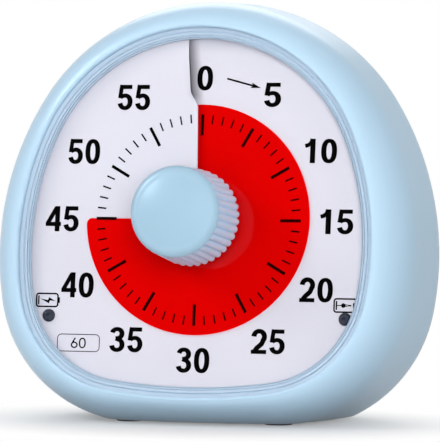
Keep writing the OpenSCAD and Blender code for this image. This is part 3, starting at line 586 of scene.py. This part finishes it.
def moulded(name, colour, rough, grain=900.0, relief=0.02, drift=0.02, metal=0.0, spec=0.5,
            tint=(1.0, 1.0, 1.0, 1.0)):
    """A moulded or drawn surface: a slow drift of colour, fine grain in relief and gloss."""
    material, tree = blank_material(name)
    slow = noise(tree, 22.0, 2.0)
    fine = noise(tree, grain, 4.0, 0.6)
    bump = add_node(tree, "Bump", {"Strength": 1.0, "Distance": relief * MM, "Height": fine})
    shader = add_node(tree, "BsdfPrincipled", {
        "Base Color": tinted(tree, slow, colour, drift),
        "Metallic": metal,
        "Roughness": spread(tree, fine, rough * (1 - GLOSS_DRIFT), rough * (1 + GLOSS_DRIFT)),
        "Normal": bump.outputs["Normal"],
        "Specular IOR Level": spec,
        "Specular Tint": tint,
    })
    add_node(tree, "OutputMaterial", {"Surface": shader.outputs["BSDF"]})
    return material


def window_clear(name):
    """Clear acrylic that lets light through and mirrors more at a glancing angle."""
    material, tree = blank_material(name)
    through = add_node(tree, "BsdfTransparent", {"Color": WINDOW_TINT})
    fine = noise(tree, 60.0, 2.0)
    gloss = add_node(tree, "BsdfGlossy", {"Roughness": spread(tree, fine, 0.02, 0.035)})
    # Only outer sides mirror, so that no slanting ray is caught inside the sheet.
    fresnel = add_node(tree, "Fresnel", {"IOR": WINDOW_IOR}).outputs["Fac"]
    inner = add_node(tree, "NewGeometry").outputs["Backfacing"]
    outer = combined(tree, "SUBTRACT", fresnel, inner)
    outer.node.use_clamp = True
    surface_mix(tree, outer, through, gloss)
    return material


def film_red(name, colour):
    """Thin dyed film: white shows through it as red, with a faint skin of gloss. Its red is let through a little
    stronger than it falls on it, which is a painted glow.
    """
    material, tree = blank_material(name)
    slow = noise(tree, 40.0, 2.0)
    # Red over 1 in the see-through colour is a painted glow.
    painted_glow_colour = (FILM_PAINTED_GLOW * colour[0], colour[1], colour[2])
    through = add_node(tree, "BsdfTransparent", {
        "Color": tinted(tree, slow, painted_glow_colour, 0.006, 1.1),
    })
    fine = noise(tree, 700.0, 3.0)
    skin = add_node(tree, "BsdfPrincipled", {
        "Base Color": tinted(tree, fine, FILM_SKIN, 0.06), "Roughness": 0.4,
    })
    surface_mix(tree, FILM_SKIN_SHARE, through, skin)
    return material


# ---------------------------------------------------------------- settings


COLOUR = {"subtype": "COLOR", "size": 4, "min": 0, "max": 1}


class TIMER_PG_body(bpy.types.PropertyGroup):
    """Sizes and colours of the housing, the window and the knob"""

    shell_colour: FloatVectorProperty(
        name="Shell colour", description="Colour of both shells",
        default=linear(182, 211, 231), **COLOUR,
    )
    # The ledge is the shell's own plastic; this greyer, darker copy of its colour paints in the shade on the
    # ledge.
    ledge_shade_colour: FloatVectorProperty(
        name="Ledge colour", description="Colour of the ledge under the window",
        default=linear(184, 203, 220), **COLOUR,
    )
    knob_colour: FloatVectorProperty(
        name="Knob colour", description="Colour of the knob",
        default=linear(158, 189, 208), **COLOUR,
    )
    # The ribs are the knob's own plastic; this lighter copy of its colour paints in the light on the ribs.
    rib_painted_light_colour: FloatVectorProperty(
        name="Rib colour", description="Colour of the knob's ribs",
        default=linear(198, 232, 255), **COLOUR,
    )
    gloss: FloatProperty(
        name="Roughness", description="Roughness of the moulded plastic",
        min=0.1, max=0.9, default=0.34,
    )
    fineness: IntProperty(
        name="Fineness", description="Steps of an outline for each step of the drawing",
        min=1, max=8, default=4,
    )
    rim_radius: FloatProperty(
        name="Rim radius", description="Rounding where the rim turns into the opening",
        unit="LENGTH", min=0.0002, max=0.0015, default=0.0011,
    )
    edge_radius: FloatProperty(
        name="Edge radius", description="Rounding of the seam between the shells",
        unit="LENGTH", min=0.0001, max=0.0008, default=0.0004,
    )


class TIMER_PG_face(bpy.types.PropertyGroup):
    """Sizes and colours of the dial's print, the film and the lamps"""

    dial_colour: FloatVectorProperty(
        name="Dial colour", description="Colour of the dial sheet",
        default=linear(213, 211, 221), **COLOUR,
    )
    ink_colour: FloatVectorProperty(
        name="Ink colour", description="Colour of the dial's print",
        default=linear(1, 1, 1), **COLOUR,
    )
    film_colour: FloatVectorProperty(
        name="Film colour", description="Tint of the film",
        default=(1, 0.02, 0.025, 1), **COLOUR,
    )
    lamp_colour: FloatVectorProperty(
        name="Lamp colour", description="Colour of the two lamps",
        default=linear(36, 42, 57), **COLOUR,
    )
    numeral_scale: FloatProperty(
        name="Numeral size", description="Size of the dial's numerals, 1 as printed",
        min=0.5, max=1.2, default=1.0,
    )
    ink_thickness: FloatProperty(
        name="Ink thickness", description="Thickness of the printed marks",
        unit="LENGTH", min=0.00001, max=0.0001, default=0.00004,
    )


# ---------------------------------------------------------------- pieces


class TIMER_OT_shells(bpy.types.Operator):
    """Builds the front shell with its rounded rim, and smooths the rear cover"""

    bl_idname = "timer.shells"
    bl_label = "Shells"

    def execute(self, context):
        body = context.scene.timer_body
        fine = body.fineness
        bm = bmesh.new()
        close_skin(bm, self.rings(fine, body.rim_radius / MM, body.edge_radius / MM))
        self.mark_ledge(bm)
        plastic = moulded("Shell plastic", body.shell_colour, body.gloss, spec=0.25,
                          tint=SKIN_TINT)
        # The ledge's second material: painted shade.
        ledge = moulded("Ledge plastic painted shade", body.ledge_shade_colour, body.gloss, spec=0.1)
        piece_from("front_shell", bm, "timer", ["front_housing"], [plastic, ledge], 40)

        bm = node_copy("rear_cover")
        piece_from("rear_shell", bm, "timer", ["rear_cover"], [plastic], 30)
        return {"FINISHED"}

    def rings(self, fine, rim, edge):
        """Rings of the front shell, out from the opening, back to the seam and home inside."""
        # The window's inner wall, then the rounding of its edge, then the rim and the flank.
        rings = [flat_ring(outline(WINDOW, 0, fine), LEDGE_HEIGHT)]
        for turn in range(0, 90, 15):
            points = outline(WINDOW, rim - rim * cos(radians(turn)), fine)
            rings.append(flat_ring(points, RIM_HEIGHT - rim * (1 - sin(radians(turn)))))
        start = degrees(asin(rim / RIM_HEIGHT))
        for i in range(RIM_STEPS + 1):
            rings.append(rim_ring(start + (90 - start) * i / RIM_STEPS, fine))
        for depth in (*OUTER_RINGS, SEAM_DEPTH - edge / 2):
            rings.append(body_ring(depth, 0, fine))
        points = outline(body_at(SEAM_DEPTH), -back_inset(SEAM_DEPTH) - edge / 2, fine)
        rings.append(skin_ring(points, SEAM_DEPTH, FOOT_HEIGHT + edge / 2))
        for depth in INNER_RINGS:
            rings.append(body_ring(depth, WALL, fine))
        for inset, height in POCKET_PROFILE + LEDGE_PROFILE:
            rings.append(flat_ring(outline(WINDOW, -inset, fine), height))
        return rings + [rings[0]]

    def mark_ledge(self, bm):
        """Gives the faces under the window the second, matt material, whose greyer colour is painted shade."""
        for face in bm.faces:
            step = (face.calc_center_median() - DIAL_MIDDLE) / MM
            x, y, height = step.dot(ACROSS), step.dot(UPWARD), step.dot(OUT)
            if LEDGE_LOW < height < LEDGE_HEIGHT:
                limit = reach(WINDOW, -LEDGE_MARGIN, degrees(atan2(x, y)))
                face.material_index = int(hypot(x, y) < limit)


class TIMER_OT_window(bpy.types.Operator):
    """Builds the clear window with its polished edges and centre hole"""

    bl_idname = "timer.window"
    bl_label = "Window"

    def execute(self, context):
        fine = context.scene.timer_body.fineness
        foot = LEDGE_HEIGHT + LENS_LIFT
        top = LEDGE_HEIGHT + LENS_THICKNESS
        wide = outline(WINDOW, -LENS_GAP, fine)
        narrow = outline(WINDOW, -LENS_GAP - LENS_EDGE, fine)
        hole = [LENS_HOLE * p.normalized() for p in outline(WINDOW, 0, fine)]
        rings = [
            flat_ring(narrow, foot),
            flat_ring(wide, foot + LENS_EDGE),
            flat_ring(wide, top - LENS_EDGE),
            flat_ring(narrow, top),
            flat_ring(hole, top),
            flat_ring(hole, foot),
            flat_ring(narrow, foot),
        ]
        bm = bmesh.new()
        close_skin(bm, rings)
        piece_from("window", bm, "timer", ["lens"], [window_clear("Clear acrylic")], 20)
        return {"FINISHED"}


class TIMER_OT_dial(bpy.types.Operator):
    """Builds the dial sheet, whose two edges overlap at the slit"""

    bl_idname = "timer.dial"
    bl_label = "Dial"

    def execute(self, context):
        face = context.scene.timer_face
        radii = [DIAL_HOLE, *DIAL_RINGS]
        radii += [FLAP_STEP + FLAP_BLEND * k / 5 for k in range(-5, 6)]
        rows = []
        for i in range(DIAL_STEPS + 1):
            angle = -SLIT_OVERLAP + i * (360 + SLIT_OVERLAP) / DIAL_STEPS
            pull = held(angle, 360 - FLAP_ZONE, 360)
            limit = reach(WINDOW, -LEDGE_REACH, angle)
            row = []
            for radius in radii + [limit - FLAP_FLAT, limit, reach(WINDOW, -DIAL_INSET, angle)]:
                short = flap_turn(radius)
                turn = angle - pull * short
                curl = held(turn, 360 - short - FLAP_CURLED, 360 - short)
                level = dial_rise(turn) + flap_curl(radius, limit) * curl * curl
                row.append(round_dial(radius, turn, level - HALF_SHEET))
            rows.append(row)
        bm = bmesh.new()
        sweep(bm, rows)
        thicken(bm, OUT * SHEET_THICKNESS * MM)
        sheet = moulded("Dial sheet", face.dial_colour, 0.5, 1500, 0.006, 0.006)
        # A soft band of painted shadow beside the raised edge.
        self.shade(sheet.node_tree)
        piece_from("dial", bm, "timer", ["dial_sheet"], [sheet])
        # A dark wall under the raised edge: painted shade.
        self.gap()
        return {"FINISHED"}

    def shade(self, tree):
        """Paints a soft dark band into the lower sheet's colour beside the raised edge: a painted shadow of that
        edge.
        """
        shader = next(n for n in tree.nodes if n.type == "BSDF_PRINCIPLED")
        colour = shader.inputs["Base Color"]
        place = add_node(tree, "TexCoord").outputs["Object"]
        bands = []
        for axis, near, far, start, end in SLIT_PAINTED_SHADOW:
            middle = DIAL_MIDDLE.dot(axis)
            along = distance_along(tree, place, axis)
            bands.append(ramp(tree, along, middle + near * MM, middle + far * MM, start, end))
        share = combined(tree, "MULTIPLY", *bands)
        shaded = toned(tree, share, colour.links[0].from_socket, PAINTED_SHADOW_COLOUR)
        tree.links.new(shaded, colour)

    def gap(self):
        """A dark wall under the raised edge, outside the reach of the film: painted shade, standing where there is
        only the shadowed space under the edge.
        """
        limit = reach(WINDOW, -LEDGE_REACH, GAP_HEADING)
        near = FILM_RADIUS + GAP_FROM_FILM
        far = limit - GAP_FROM_LEDGE
        rows = []
        for k in range(GAP_STEPS + 1):
            radius = near + (far - near) * k / GAP_STEPS
            angle = 360 - flap_turn(radius)
            top = dial_rise(angle) + flap_curl(radius, limit) - HALF_SHEET - GAP_PLAY
            low = dial_rise(angle - 360) + HALF_SHEET + GAP_PLAY
            back, front = GAP_SIDES
            corners = ((back, low), (front, low), (front, top), (back, top), (back, low))
            rows.append([round_dial(radius, angle, h, aside) for aside, h in corners])
        bm = bmesh.new()
        sweep(bm, list(zip(*rows)))
        merge(bm)
        bmesh.ops.holes_fill(bm, edges=bm.edges, sides=4)
        turn_outwards(bm)
        dark = moulded("Slit painted shade", linear(30, 27, 30), 0.9, spec=0.05)
        piece_from("slit_painted_shade_wall", bm, "timer", [], [dark])


def stroke(bm, path, width, closed=False):
    """A flat band along a path. width is a number, or (upright, level) for a pen with contrast."""
    upright, level = width if isinstance(width, tuple) else (width, width)
    points = [Vector(p) for p in path]
    rows = []
    count = len(points)
    for i, point in enumerate(points):
        before = points[i - 1] if i or closed else point
        after = points[(i + 1) % count] if i < count - 1 or closed else point
        along = (after - before).normalized()
        half = 0.5 * hypot(upright * along.y, level * along.x)
        side = Vector((along.y, -along.x)) * half
        rows.append([Vector((*(point + side), 0)), Vector((*(point - side), 0))])
    if closed:
        rows.append(rows[0])
    sweep(bm, rows)


def patch(bm, points):
    """A flat face inside a ring of points."""
    bm.faces.new([bm.verts.new((x, y, 0)) for x, y in points])


def bend(middle, radii, start, end, steps=14, square=2.0):
    """Points of an arc, squarer than an ellipse where square is over 2. Angles in degrees,
    anticlockwise from the right."""
    points = []
    for i in range(steps + 1):
        turn = radians(start + (end - start) * i / steps)
        c, s = cos(turn), sin(turn)
        points.append((middle[0] + radii[0] * copysign(abs(c) ** (2 / square), c),
                       middle[1] + radii[1] * copysign(abs(s) ** (2 / square), s)))
    return points


def rounded_box(left, right, low, high, radius):
    points = []
    for x, y, start in ((right - radius, high - radius, 0), (left + radius, high - radius, 90),
                        (left + radius, low + radius, 180), (right - radius, low + radius, 270)):
        points += bend((x, y), (radius, radius), start, start + 90, 5)
    return points


def draw_digit(bm, digit, pen):
    """An upright digit in a box as wide as DIGIT_WIDTH and 1 high. The pen holds the width of
    an upright stroke and of a level one."""
    v, h = pen
    w = DIGIT_WIDTH
    right = w - v / 2
    mid = w / 2
    wide, bowl = mid - v / 2, 0.5 - h / 2
    if digit == "0":
        stroke(bm, bend((mid, 0.5), (wide, bowl), 0, 360, 48, 2.35)[:-1], pen, True)
    elif digit == "1":
        stroke(bm, [(0.4, 0), (0.4, 1)], v)
        stroke(bm, [(0.09, 0.70), (0.2, 0.73), (0.3, 0.8), (0.35, 0.88), (0.37, 1.0)], 0.8 * v)
    elif digit == "2":
        stroke(bm, bend((mid, 0.68), (wide, 0.32 - h / 2), 176, -8, 22, 2.1)
               + [(right - 0.05, 0.54), (0.43, 0.41), (0.24, 0.24), (0.13, h / 2)], (v, 0.9 * v))
        stroke(bm, [(0.0, h / 2), (w - 0.01, h / 2)], h)
    elif digit == "3":
        stroke(bm, bend((mid - 0.01, 0.735), (wide - 0.015, 0.265 - h / 2), 170, -78, 22, 2.1)
               + [(0.25, 0.54)], (v, h))
        stroke(bm, [(0.25, 0.54)]
               + bend((mid - 0.005, 0.295), (wide, 0.295 - h / 2), 78, -172, 24, 2.1), (v, h))
    elif digit == "4":
        stroke(bm, [(0.485, 0), (0.485, 1)], 0.95 * v)
        stroke(bm, [(0.0, 0.29), (w, 0.29)], h)
        stroke(bm, [(0.075, 0.3), (0.44, 0.94)], 0.85 * v)
    elif digit == "5":
        stroke(bm, [(0.1, 1 - h / 2), (w - 0.04, 1 - h / 2)], h)
        stroke(bm, [(0.17, 1.0), (0.1, 0.47)], 0.82 * v)
        stroke(bm, [(0.12, 0.5), (0.2, 0.57)]
               + bend((mid - 0.005, 0.33), (wide, 0.33 - h / 2), 112, -168, 28, 2.1), (v, h))
    elif digit == "6":
        stroke(bm, bend((mid, 0.31), (wide, 0.31 - h / 2), 0, 360, 32)[:-1], pen, True)
        stroke(bm, [(v * 0.75, 0.42), (0.2, 0.62), (0.4, 0.98)], v)


def extent(bm):
    """Left, right, low and high end of a flat bmesh."""
    xs = [v.co.x for v in bm.verts]
    ys = [v.co.y for v in bm.verts]
    return min(xs), max(xs), min(ys), max(ys)


def lettering(text, pen, x, y, width, height):
    """Digits side by side, stretched to fill a box about a point of the dial."""
    bm = bmesh.new()
    for i, digit in enumerate(text):
        before = len(bm.verts)
        draw_digit(bm, digit, pen)
        bm.verts.ensure_lookup_table()
        bmesh.ops.translate(bm, vec=(i * DIGIT_PITCH, 0, 0), verts=bm.verts[before:])
    left, right, low, high = extent(bm)
    middle = Vector(((left + right) / 2, (low + high) / 2, 0))
    bmesh.ops.translate(bm, vec=-middle, verts=bm.verts)
    size = (width / (right - left), height / (high - low), 1)
    bmesh.ops.scale(bm, vec=size, verts=bm.verts)
    bmesh.ops.translate(bm, vec=(x, y, 0), verts=bm.verts)
    return bm


def lay_on_dial(bm, ink, target):
    """Turns flat marks into thin slabs that follow the rising dial, and adds them to a bmesh."""
    downs = [f for f in bm.faces if f.normal.z < 0]
    bmesh.ops.reverse_faces(bm, faces=downs)
    thicken(bm, (0, 0, ink))
    left, right, low, high = extent(bm)
    centre = degrees(atan2((left + right) / 2, (low + high) / 2)) % 360
    for v in bm.verts:
        angle = degrees(atan2(v.co.x, v.co.y))
        angle = centre + (angle - centre + 180) % 360 - 180
        # A quarter of the ink sinks into the sheet, so that no mark floats over it.
        level = dial_rise(angle) + HALF_SHEET + v.co.z - ink / 4
        v.co = on_dial(v.co.x, v.co.y, level)
    mesh = bpy.data.meshes.new("mark")
    bm.to_mesh(mesh)
    bm.free()
    target.from_mesh(mesh)
    bpy.data.meshes.remove(mesh)


class TIMER_OT_print(bpy.types.Operator):
    """Prints the ticks, the numerals, the arrow and the battery signs on the dial"""

    bl_idname = "timer.print"
    bl_label = "Dial print"

    def execute(self, context):
        face = context.scene.timer_face
        ink = face.ink_thickness / MM
        scale = face.numeral_scale
        target = bmesh.new()
        for minute in range(60):
            near, far, width = MINOR_TICK if minute % 5 else MAJOR_TICK
            step = heading(6 * minute)
            bm = bmesh.new()
            stroke(bm, [step * near, step * far], width)
            lay_on_dial(bm, ink, target)
        for text, x, y, width, height in NUMERALS:
            lay_on_dial(lettering(text, PEN, x, y, width * scale, height * scale), ink, target)
        lay_on_dial(self.arrow(), ink, target)
        self.signs(ink, target)
        bm = bmesh.new()
        stroke(bm, rounded_box(*MINUTES_BOX), MINUTES_LINE, closed=True)
        lay_on_dial(bm, ink, target)
        text, *box = FRAMED_MINUTES
        lay_on_dial(lettering(text, THIN_PEN, *box), ink, target)
        black = moulded("Dial ink", face.ink_colour, 0.7, 1200, 0.004, 0.1, spec=0.02)
        piece_from("dial_print", target, "timer", [], [black])
        return {"FINISHED"}

    def arrow(self):
        """The arrow from 0 to 5, with a notch in the back of its head."""
        along = (ARROW_TIP - ARROW_TAIL).normalized()
        side = Vector((along.y, -along.x)) * ARROW_HALF
        wings = ARROW_TIP - along * ARROW_HEAD
        notch = ARROW_TIP - along * ARROW_NOTCH
        bm = bmesh.new()
        stroke(bm, [ARROW_TAIL, ARROW_TIP - along * ARROW_STOP], ARROW_LINE)
        patch(bm, [ARROW_TIP, wings + side, notch, wings - side])
        return bm

    def signs(self, ink, target):
        """The two battery signs over the lamps: a flash on the left and a plug on the right."""
        middle = SIGN_MIDDLE
        for left, right in SIGNS:
            bm = bmesh.new()
            stroke(bm, rounded_box(left, right, SIGN_LOW, SIGN_HIGH, 0.8), SIGN_LINE, closed=True)
            stroke(bm, [(left + 0.78, SIGN_LOW + 0.7), (left + 0.78, SIGN_HIGH - 0.7)], 0.5)
            if left < 0:
                stroke(bm, [(right + 0.35, middle - 0.95), (right + 0.35, middle + 0.95)], 0.75)
                patch(bm, [(-54.4, -27.3), (-51.2, -28.95), (-50.85, -27.95), (-48.8, -28.2),
                           (-51.2, -26.85), (-51.6, -27.85)])
            else:
                # A plug: its cord, body, two pins and the wall it goes into.
                stroke(bm, [(48.9, middle), (50.6, middle)], 0.3)
                stroke(bm, bend((51.15, middle), (0.38, 0.38), 0, 360, 16)[:-1], 0.78, True)
                for side in (-0.32, 0.32):
                    stroke(bm, [(51.3, middle + side), (52.6, middle + side * 0.6)], 0.28)
                stroke(bm, [(52.7, middle), (53.85, middle)], 0.5)
                stroke(bm, [(54.7, middle - 0.85), (54.7, middle + 0.85)], 0.55)
            lay_on_dial(bm, ink, target)


class TIMER_OT_film(bpy.types.Operator):
    """Builds the red film that winds out through the slit"""

    bl_idname = "timer.film"
    bl_label = "Film"

    def execute(self, context):
        face = context.scene.timer_face
        # Angles behind the film's leading edge, closer together round its rounded corner.
        corner = degrees(FILM_CORNER / FILM_RADIUS)
        pace = (FILM_SPAN - corner) / FILM_STEPS
        lags = [FILM_SPAN - i * pace for i in range(FILM_STEPS + 1)]
        lags += [corner * (1 - sin(radians(90 * k / 10))) for k in range(1, 11)]
        rows = []
        for lag in lags:
            angle = FILM_SHOWN - lag
            level = SLIT_RISE * angle / 360 - FILM_THICKNESS / 2
            far = FILM_RADIUS - FILM_CORNER * round_off(held(lag, corner, 0))
            rows.append([round_dial(r, angle, level) for r in (HUB_RADIUS, *FILM_RINGS, far)])
        bm = bmesh.new()
        sweep(bm, rows)
        thicken(bm, OUT * FILM_THICKNESS * MM)
        red = film_red("Red film", face.film_colour)
        piece_from("film", bm, "film", ["red_film"], [red])
        return {"FINISHED"}


class TIMER_OT_knob(bpy.types.Operator):
    """Builds the knob: a domed face over a skirt of convex ribs"""

    bl_idname = "timer.knob"
    bl_label = "Knob"

    def execute(self, context):
        body = context.scene.timer_body
        bm = turned(self.profile(), 12 * RIBS)
        self.cut_ribs(bm)
        turn_outwards(bm)
        for face in bm.faces:
            # Faces of the ribs take the second material, whose lighter colour is painted light.
            middle = face.calc_center_median()
            outside = hypot(middle.x, middle.y) > RIB_PAINT_INNER
            face.material_index = int(outside and middle.z < RIB_PAINT_TOP)
        stand_on_dial(bm, 0, 0, LEDGE_HEIGHT + LENS_THICKNESS + KNOB_GAP)
        plastic = moulded("Knob plastic", body.knob_colour, body.gloss, spec=0.35,
                          tint=SKIN_TINT)
        # The ribs' plastic, lighter than the knob's: painted light.
        ribs = moulded("Rib plastic painted lighter", body.rib_painted_light_colour, body.gloss, spec=0.5,
                       tint=(0.8, 0.85, 1.0, 1.0))
        piece_from("knob_shell", bm, "winder", ["knob"], [plastic, ribs], 50)
        return {"FINISHED"}

    def profile(self):
        """Radii and heights from the hollow round the foot and up to the middle of the face."""
        foot_radius = KNOB_RADIUS + KNOB_FLARE
        top_radius = KNOB_RADIUS - KNOB_TAPER
        rise = KNOB_LENGTH - KNOB_SHOULDER - KNOB_FOOT
        profile = [*KNOB_HOLLOW, (KNOB_RADIUS, 0.0), (foot_radius, KNOB_FOOT)]
        for i in range(1, KNOB_STEPS + 1):
            share = i / KNOB_STEPS
            profile.append((foot_radius + (top_radius - foot_radius) * share,
                            KNOB_FOOT + rise * share))
        face_radius = top_radius - KNOB_SHOULDER
        for turn in range(9, 90, 9):
            profile.append((face_radius + KNOB_SHOULDER * cos(radians(turn)),
                            KNOB_LENGTH - KNOB_SHOULDER * (1 - sin(radians(turn)))))
        dome = (face_radius ** 2 + KNOB_DOME ** 2) / (2 * KNOB_DOME)
        edge = asin(face_radius / dome)
        for i in range(13):
            a = edge * (1 - i / 12)
            profile.append((dome * sin(a), KNOB_LENGTH + KNOB_DOME - dome * (1 - cos(a))))
        return profile

    def cut_ribs(self, bm):
        """Presses the skirt in between its ribs, less and less towards the shoulder."""
        for v in bm.verts:
            radius = hypot(v.co.x, v.co.y)
            if radius < RIB_INNER:
                continue
            turn = atan2(v.co.y, v.co.x)
            fade = held(v.co.z, RIB_TOP, RIB_TOP - RIB_FADE)
            rib = radius - fade * RIB_DEPTH * (1 - abs(sin(RIBS * turn / 2)) ** RIB_ROUND)
            v.co.x *= rib / radius
            v.co.y *= rib / radius


class TIMER_OT_fittings(bpy.types.Operator):
    """Gives the lamps, the fittings of the back and the inner pieces their finishes"""

    bl_idname = "timer.fittings"
    bl_label = "Fittings"

    def execute(self, context):
        face = context.scene.timer_face
        finishes = {
            "lamp": moulded("Lamp dome", face.lamp_colour, 0.12, 500, 0.004, 0.05),
            "nylon": moulded("White nylon", linear(236, 233, 224), 0.5),
            "steel": moulded("Plated steel", linear(176, 178, 182), 0.3, 1400, 0.01, 0.05, 1.0),
            "brass": moulded("Turned brass", linear(203, 168, 96), 0.3, 1400, 0.01, 0.05, 1.0),
            "cell": moulded("Cell wrap", linear(150, 155, 166), 0.4),
            "black_plastic": moulded("Black plastic", linear(32, 32, 34), 0.45),
            "board": moulded("Board lacquer", linear(28, 96, 54), 0.3),
            "rubber": moulded("Grey rubber", linear(70, 72, 76), 0.8, 700, 0.05, 0.06),
            "film": moulded("Red hub", linear(200, 12, 14), 0.45),
            "dial": moulded("Seat plastic", linear(230, 229, 238), 0.5),
            "knob": moulded("Blue inner plastic", linear(178, 212, 233), 0.4),
            "housing": moulded("Blue shell plastic", linear(184, 214, 235), 0.4),
            "lens": window_clear("Clear inner acrylic"),
        }
        for part in frame["record"]["subparts"]:
            node = frame["nodes"][part["node"]]
            node.data.materials.clear()
            node.data.materials.append(finishes[part["material_slot"]])
        for lamp, x, y in LAMP_PLACES:
            self.dome(lamp, x, y, finishes["lamp"])
        return {"FINISHED"}

    def dome(self, lamp, x, y, material):
        """A lamp's clear body, which passes through the dial and ends in a low dome."""
        collar = dial_rise(degrees(atan2(x, y)) % 360) + HALF_SHEET + LAMP_COLLAR
        profile = [(0, LAMP_FOOT), (LAMP_RADIUS, LAMP_FOOT), (LAMP_RADIUS, collar)]
        for turn in range(10, 91, 10):
            profile.append((LAMP_RADIUS * cos(radians(turn)),
                            collar + LAMP_DOME * sin(radians(turn))))
        bm = turned(profile, 40)
        turn_outwards(bm)
        stand_on_dial(bm, x, y, 0)
        piece_from(lamp + "_dome", bm, "timer", [lamp], [material], 40)


class TIMER_OT_stage(bpy.types.Operator):
    """Sets up the floor, the white surround, the soft lamps and the camera"""

    bl_idname = "timer.stage"
    bl_label = "Stage"

    def execute(self, context):
        scene = context.scene
        scene.view_settings.view_transform = "Standard"
        self.floor()
        self.surround(scene)
        for lamp in LAMPS:
            self.lamp(scene, *lamp)
        self.camera(scene)
        return {"FINISHED"}

    def floor(self):
        """A card that takes the shadows, and fades out into plain white away from the timer."""
        bm = bmesh.new()
        bmesh.ops.create_grid(bm, x_segments=8, y_segments=8, size=FLOOR_REACH)
        floor = object_from("floor", bm)
        material, tree = blank_material("Floor card")
        seen = self.seen(tree)
        place = add_node(tree, "TexCoord").outputs["Object"]
        squeezed = add_node(tree, "Mapping", {"Vector": place, "Scale": WHITE_SQUEEZE})
        length = add_node(tree, "VectorMath", {0: squeezed.outputs["Vector"]}, operation="LENGTH")
        far = length.outputs["Value"]
        # The card is pale at the front and the left, and a grey one lies at the right. Under the timer its tone
        # for bounced light is darker, a painted shade on the base's lower edge.
        across = distance_along(tree, place, GREY_SIDE)
        grey = ramp(tree, across, *GREY_FADE, smooth=True)
        under = ramp(tree, far, *UNDER_PAINTED_SHADE, smooth=True)
        tone = combined(tree, "MULTIPLY", grey, under)
        card = add_node(tree, "BsdfDiffuse", {"Color": toned(tree, seen, tone, FLOOR_SEEN)})
        glow = add_node(tree, "Emission", {"Color": WHITE})
        white = ramp(tree, far, *WHITE_FADE, smooth=True)
        surface_mix(tree, combined(tree, "MULTIPLY", seen, white), card, glow)
        floor.data.materials.append(material)

    def seen(self, tree):
        """One for camera, mirror and see-through rays, and nothing for the rest."""
        path = add_node(tree, "LightPath").outputs
        return combined(tree, "MAXIMUM", path["Is Camera Ray"], path["Is Glossy Ray"],
                        path["Is Transmission Ray"])

    def surround(self, scene):
        """A white surround, with the dark of the room at the front where a mirror would show it."""
        world = bpy.data.worlds.new("White surround")
        world.use_nodes = True
        tree = world.node_tree
        tree.nodes.clear()
        place = add_node(tree, "TexCoord").outputs["Generated"]
        towards = distance_along(tree, place, ROOM_FRONT)
        mirrored = add_node(tree, "Mix", {
            "Factor": add_node(tree, "LightPath").outputs["Is Glossy Ray"],
            "A": 1.0,
            "B": ramp(tree, towards, *ROOM_FADE, smooth=True),
        }).outputs["Result"]
        soft = add_node(tree, "Background", {"Color": AMBIENT_COLOUR, "Strength": AMBIENT})
        white = add_node(tree, "Background", {"Color": WHITE, "Strength": mirrored})
        surface_mix(tree, self.seen(tree), soft, white, "OutputWorld")
        scene.world = world

    def lamp(self, scene, name, place, size, power, plain, mirrored):
        data = bpy.data.lights.new(name, "AREA")
        data.shape = "RECTANGLE"
        data.size, data.size_y = size
        data.energy = power
        lamp = bpy.data.objects.new(name, data)
        lamp.location = place
        lamp.visible_diffuse = plain
        lamp.visible_glossy = mirrored
        view = DIAL_MIDDLE - Vector(place)
        lamp.rotation_euler = view.to_track_quat("-Z", "Y").to_euler()
        scene.collection.objects.link(lamp)

    def camera(self, scene):
        turn, rise = radians(CAMERA_TURN), radians(CAMERA_RISE)
        right = Vector((cos(turn), sin(turn), 0))
        back = Vector((sin(turn) * cos(rise), -cos(turn) * cos(rise), sin(rise)))
        up = back.cross(right)
        data = bpy.data.cameras.new("Camera")
        data.sensor_width = 36.0
        data.lens = CAMERA_LENS
        data.clip_start = 0.1
        data.clip_end = 20.0
        camera = bpy.data.objects.new("Camera", data)
        axes = Matrix((right, up, back)).transposed()
        place = DIAL_MIDDLE + axes @ Vector(CAMERA_PLACE) * MM
        camera.matrix_world = Matrix.Translation(place) @ axes.to_4x4()
        scene.collection.objects.link(camera)
        scene.camera = camera


class TIMER_PT_panel(bpy.types.Panel):
    """Lists the timer's pieces and their settings"""

    bl_idname = "TIMER_PT_panel"
    bl_label = "Countdown timer"
    bl_space_type = "VIEW_3D"
    bl_region_type = "UI"
    bl_category = "Timer"

    def draw(self, context):
        for settings in (context.scene.timer_body, context.scene.timer_face):
            column = self.layout.column()
            for name in settings.__annotations__:
                column.prop(settings, name)
        for step in STEPS:
            self.layout.operator(step.bl_idname)


STEPS = (
    TIMER_OT_fittings,
    TIMER_OT_shells,
    TIMER_OT_window,
    TIMER_OT_dial,
    TIMER_OT_print,
    TIMER_OT_film,
    TIMER_OT_knob,
    TIMER_OT_stage,
)
CLASSES = (TIMER_PG_body, TIMER_PG_face) + STEPS + (TIMER_PT_panel,)


def register():
    for cls in CLASSES:
        bpy.utils.register_class(cls)
    bpy.types.Scene.timer_body = PointerProperty(type=TIMER_PG_body)
    bpy.types.Scene.timer_face = PointerProperty(type=TIMER_PG_face)


def unregister():
    del bpy.types.Scene.timer_face
    del bpy.types.Scene.timer_body
    for cls in reversed(CLASSES):
        bpy.utils.unregister_class(cls)


def main():
    register()
    bpy.ops.timer.fittings()
    bpy.ops.timer.shells()
    bpy.ops.timer.window()
    bpy.ops.timer.dial()
    bpy.ops.timer.print()
    bpy.ops.timer.film()
    bpy.ops.timer.knob()
    bpy.ops.timer.stage()


if __name__ == "__main__":
    main()
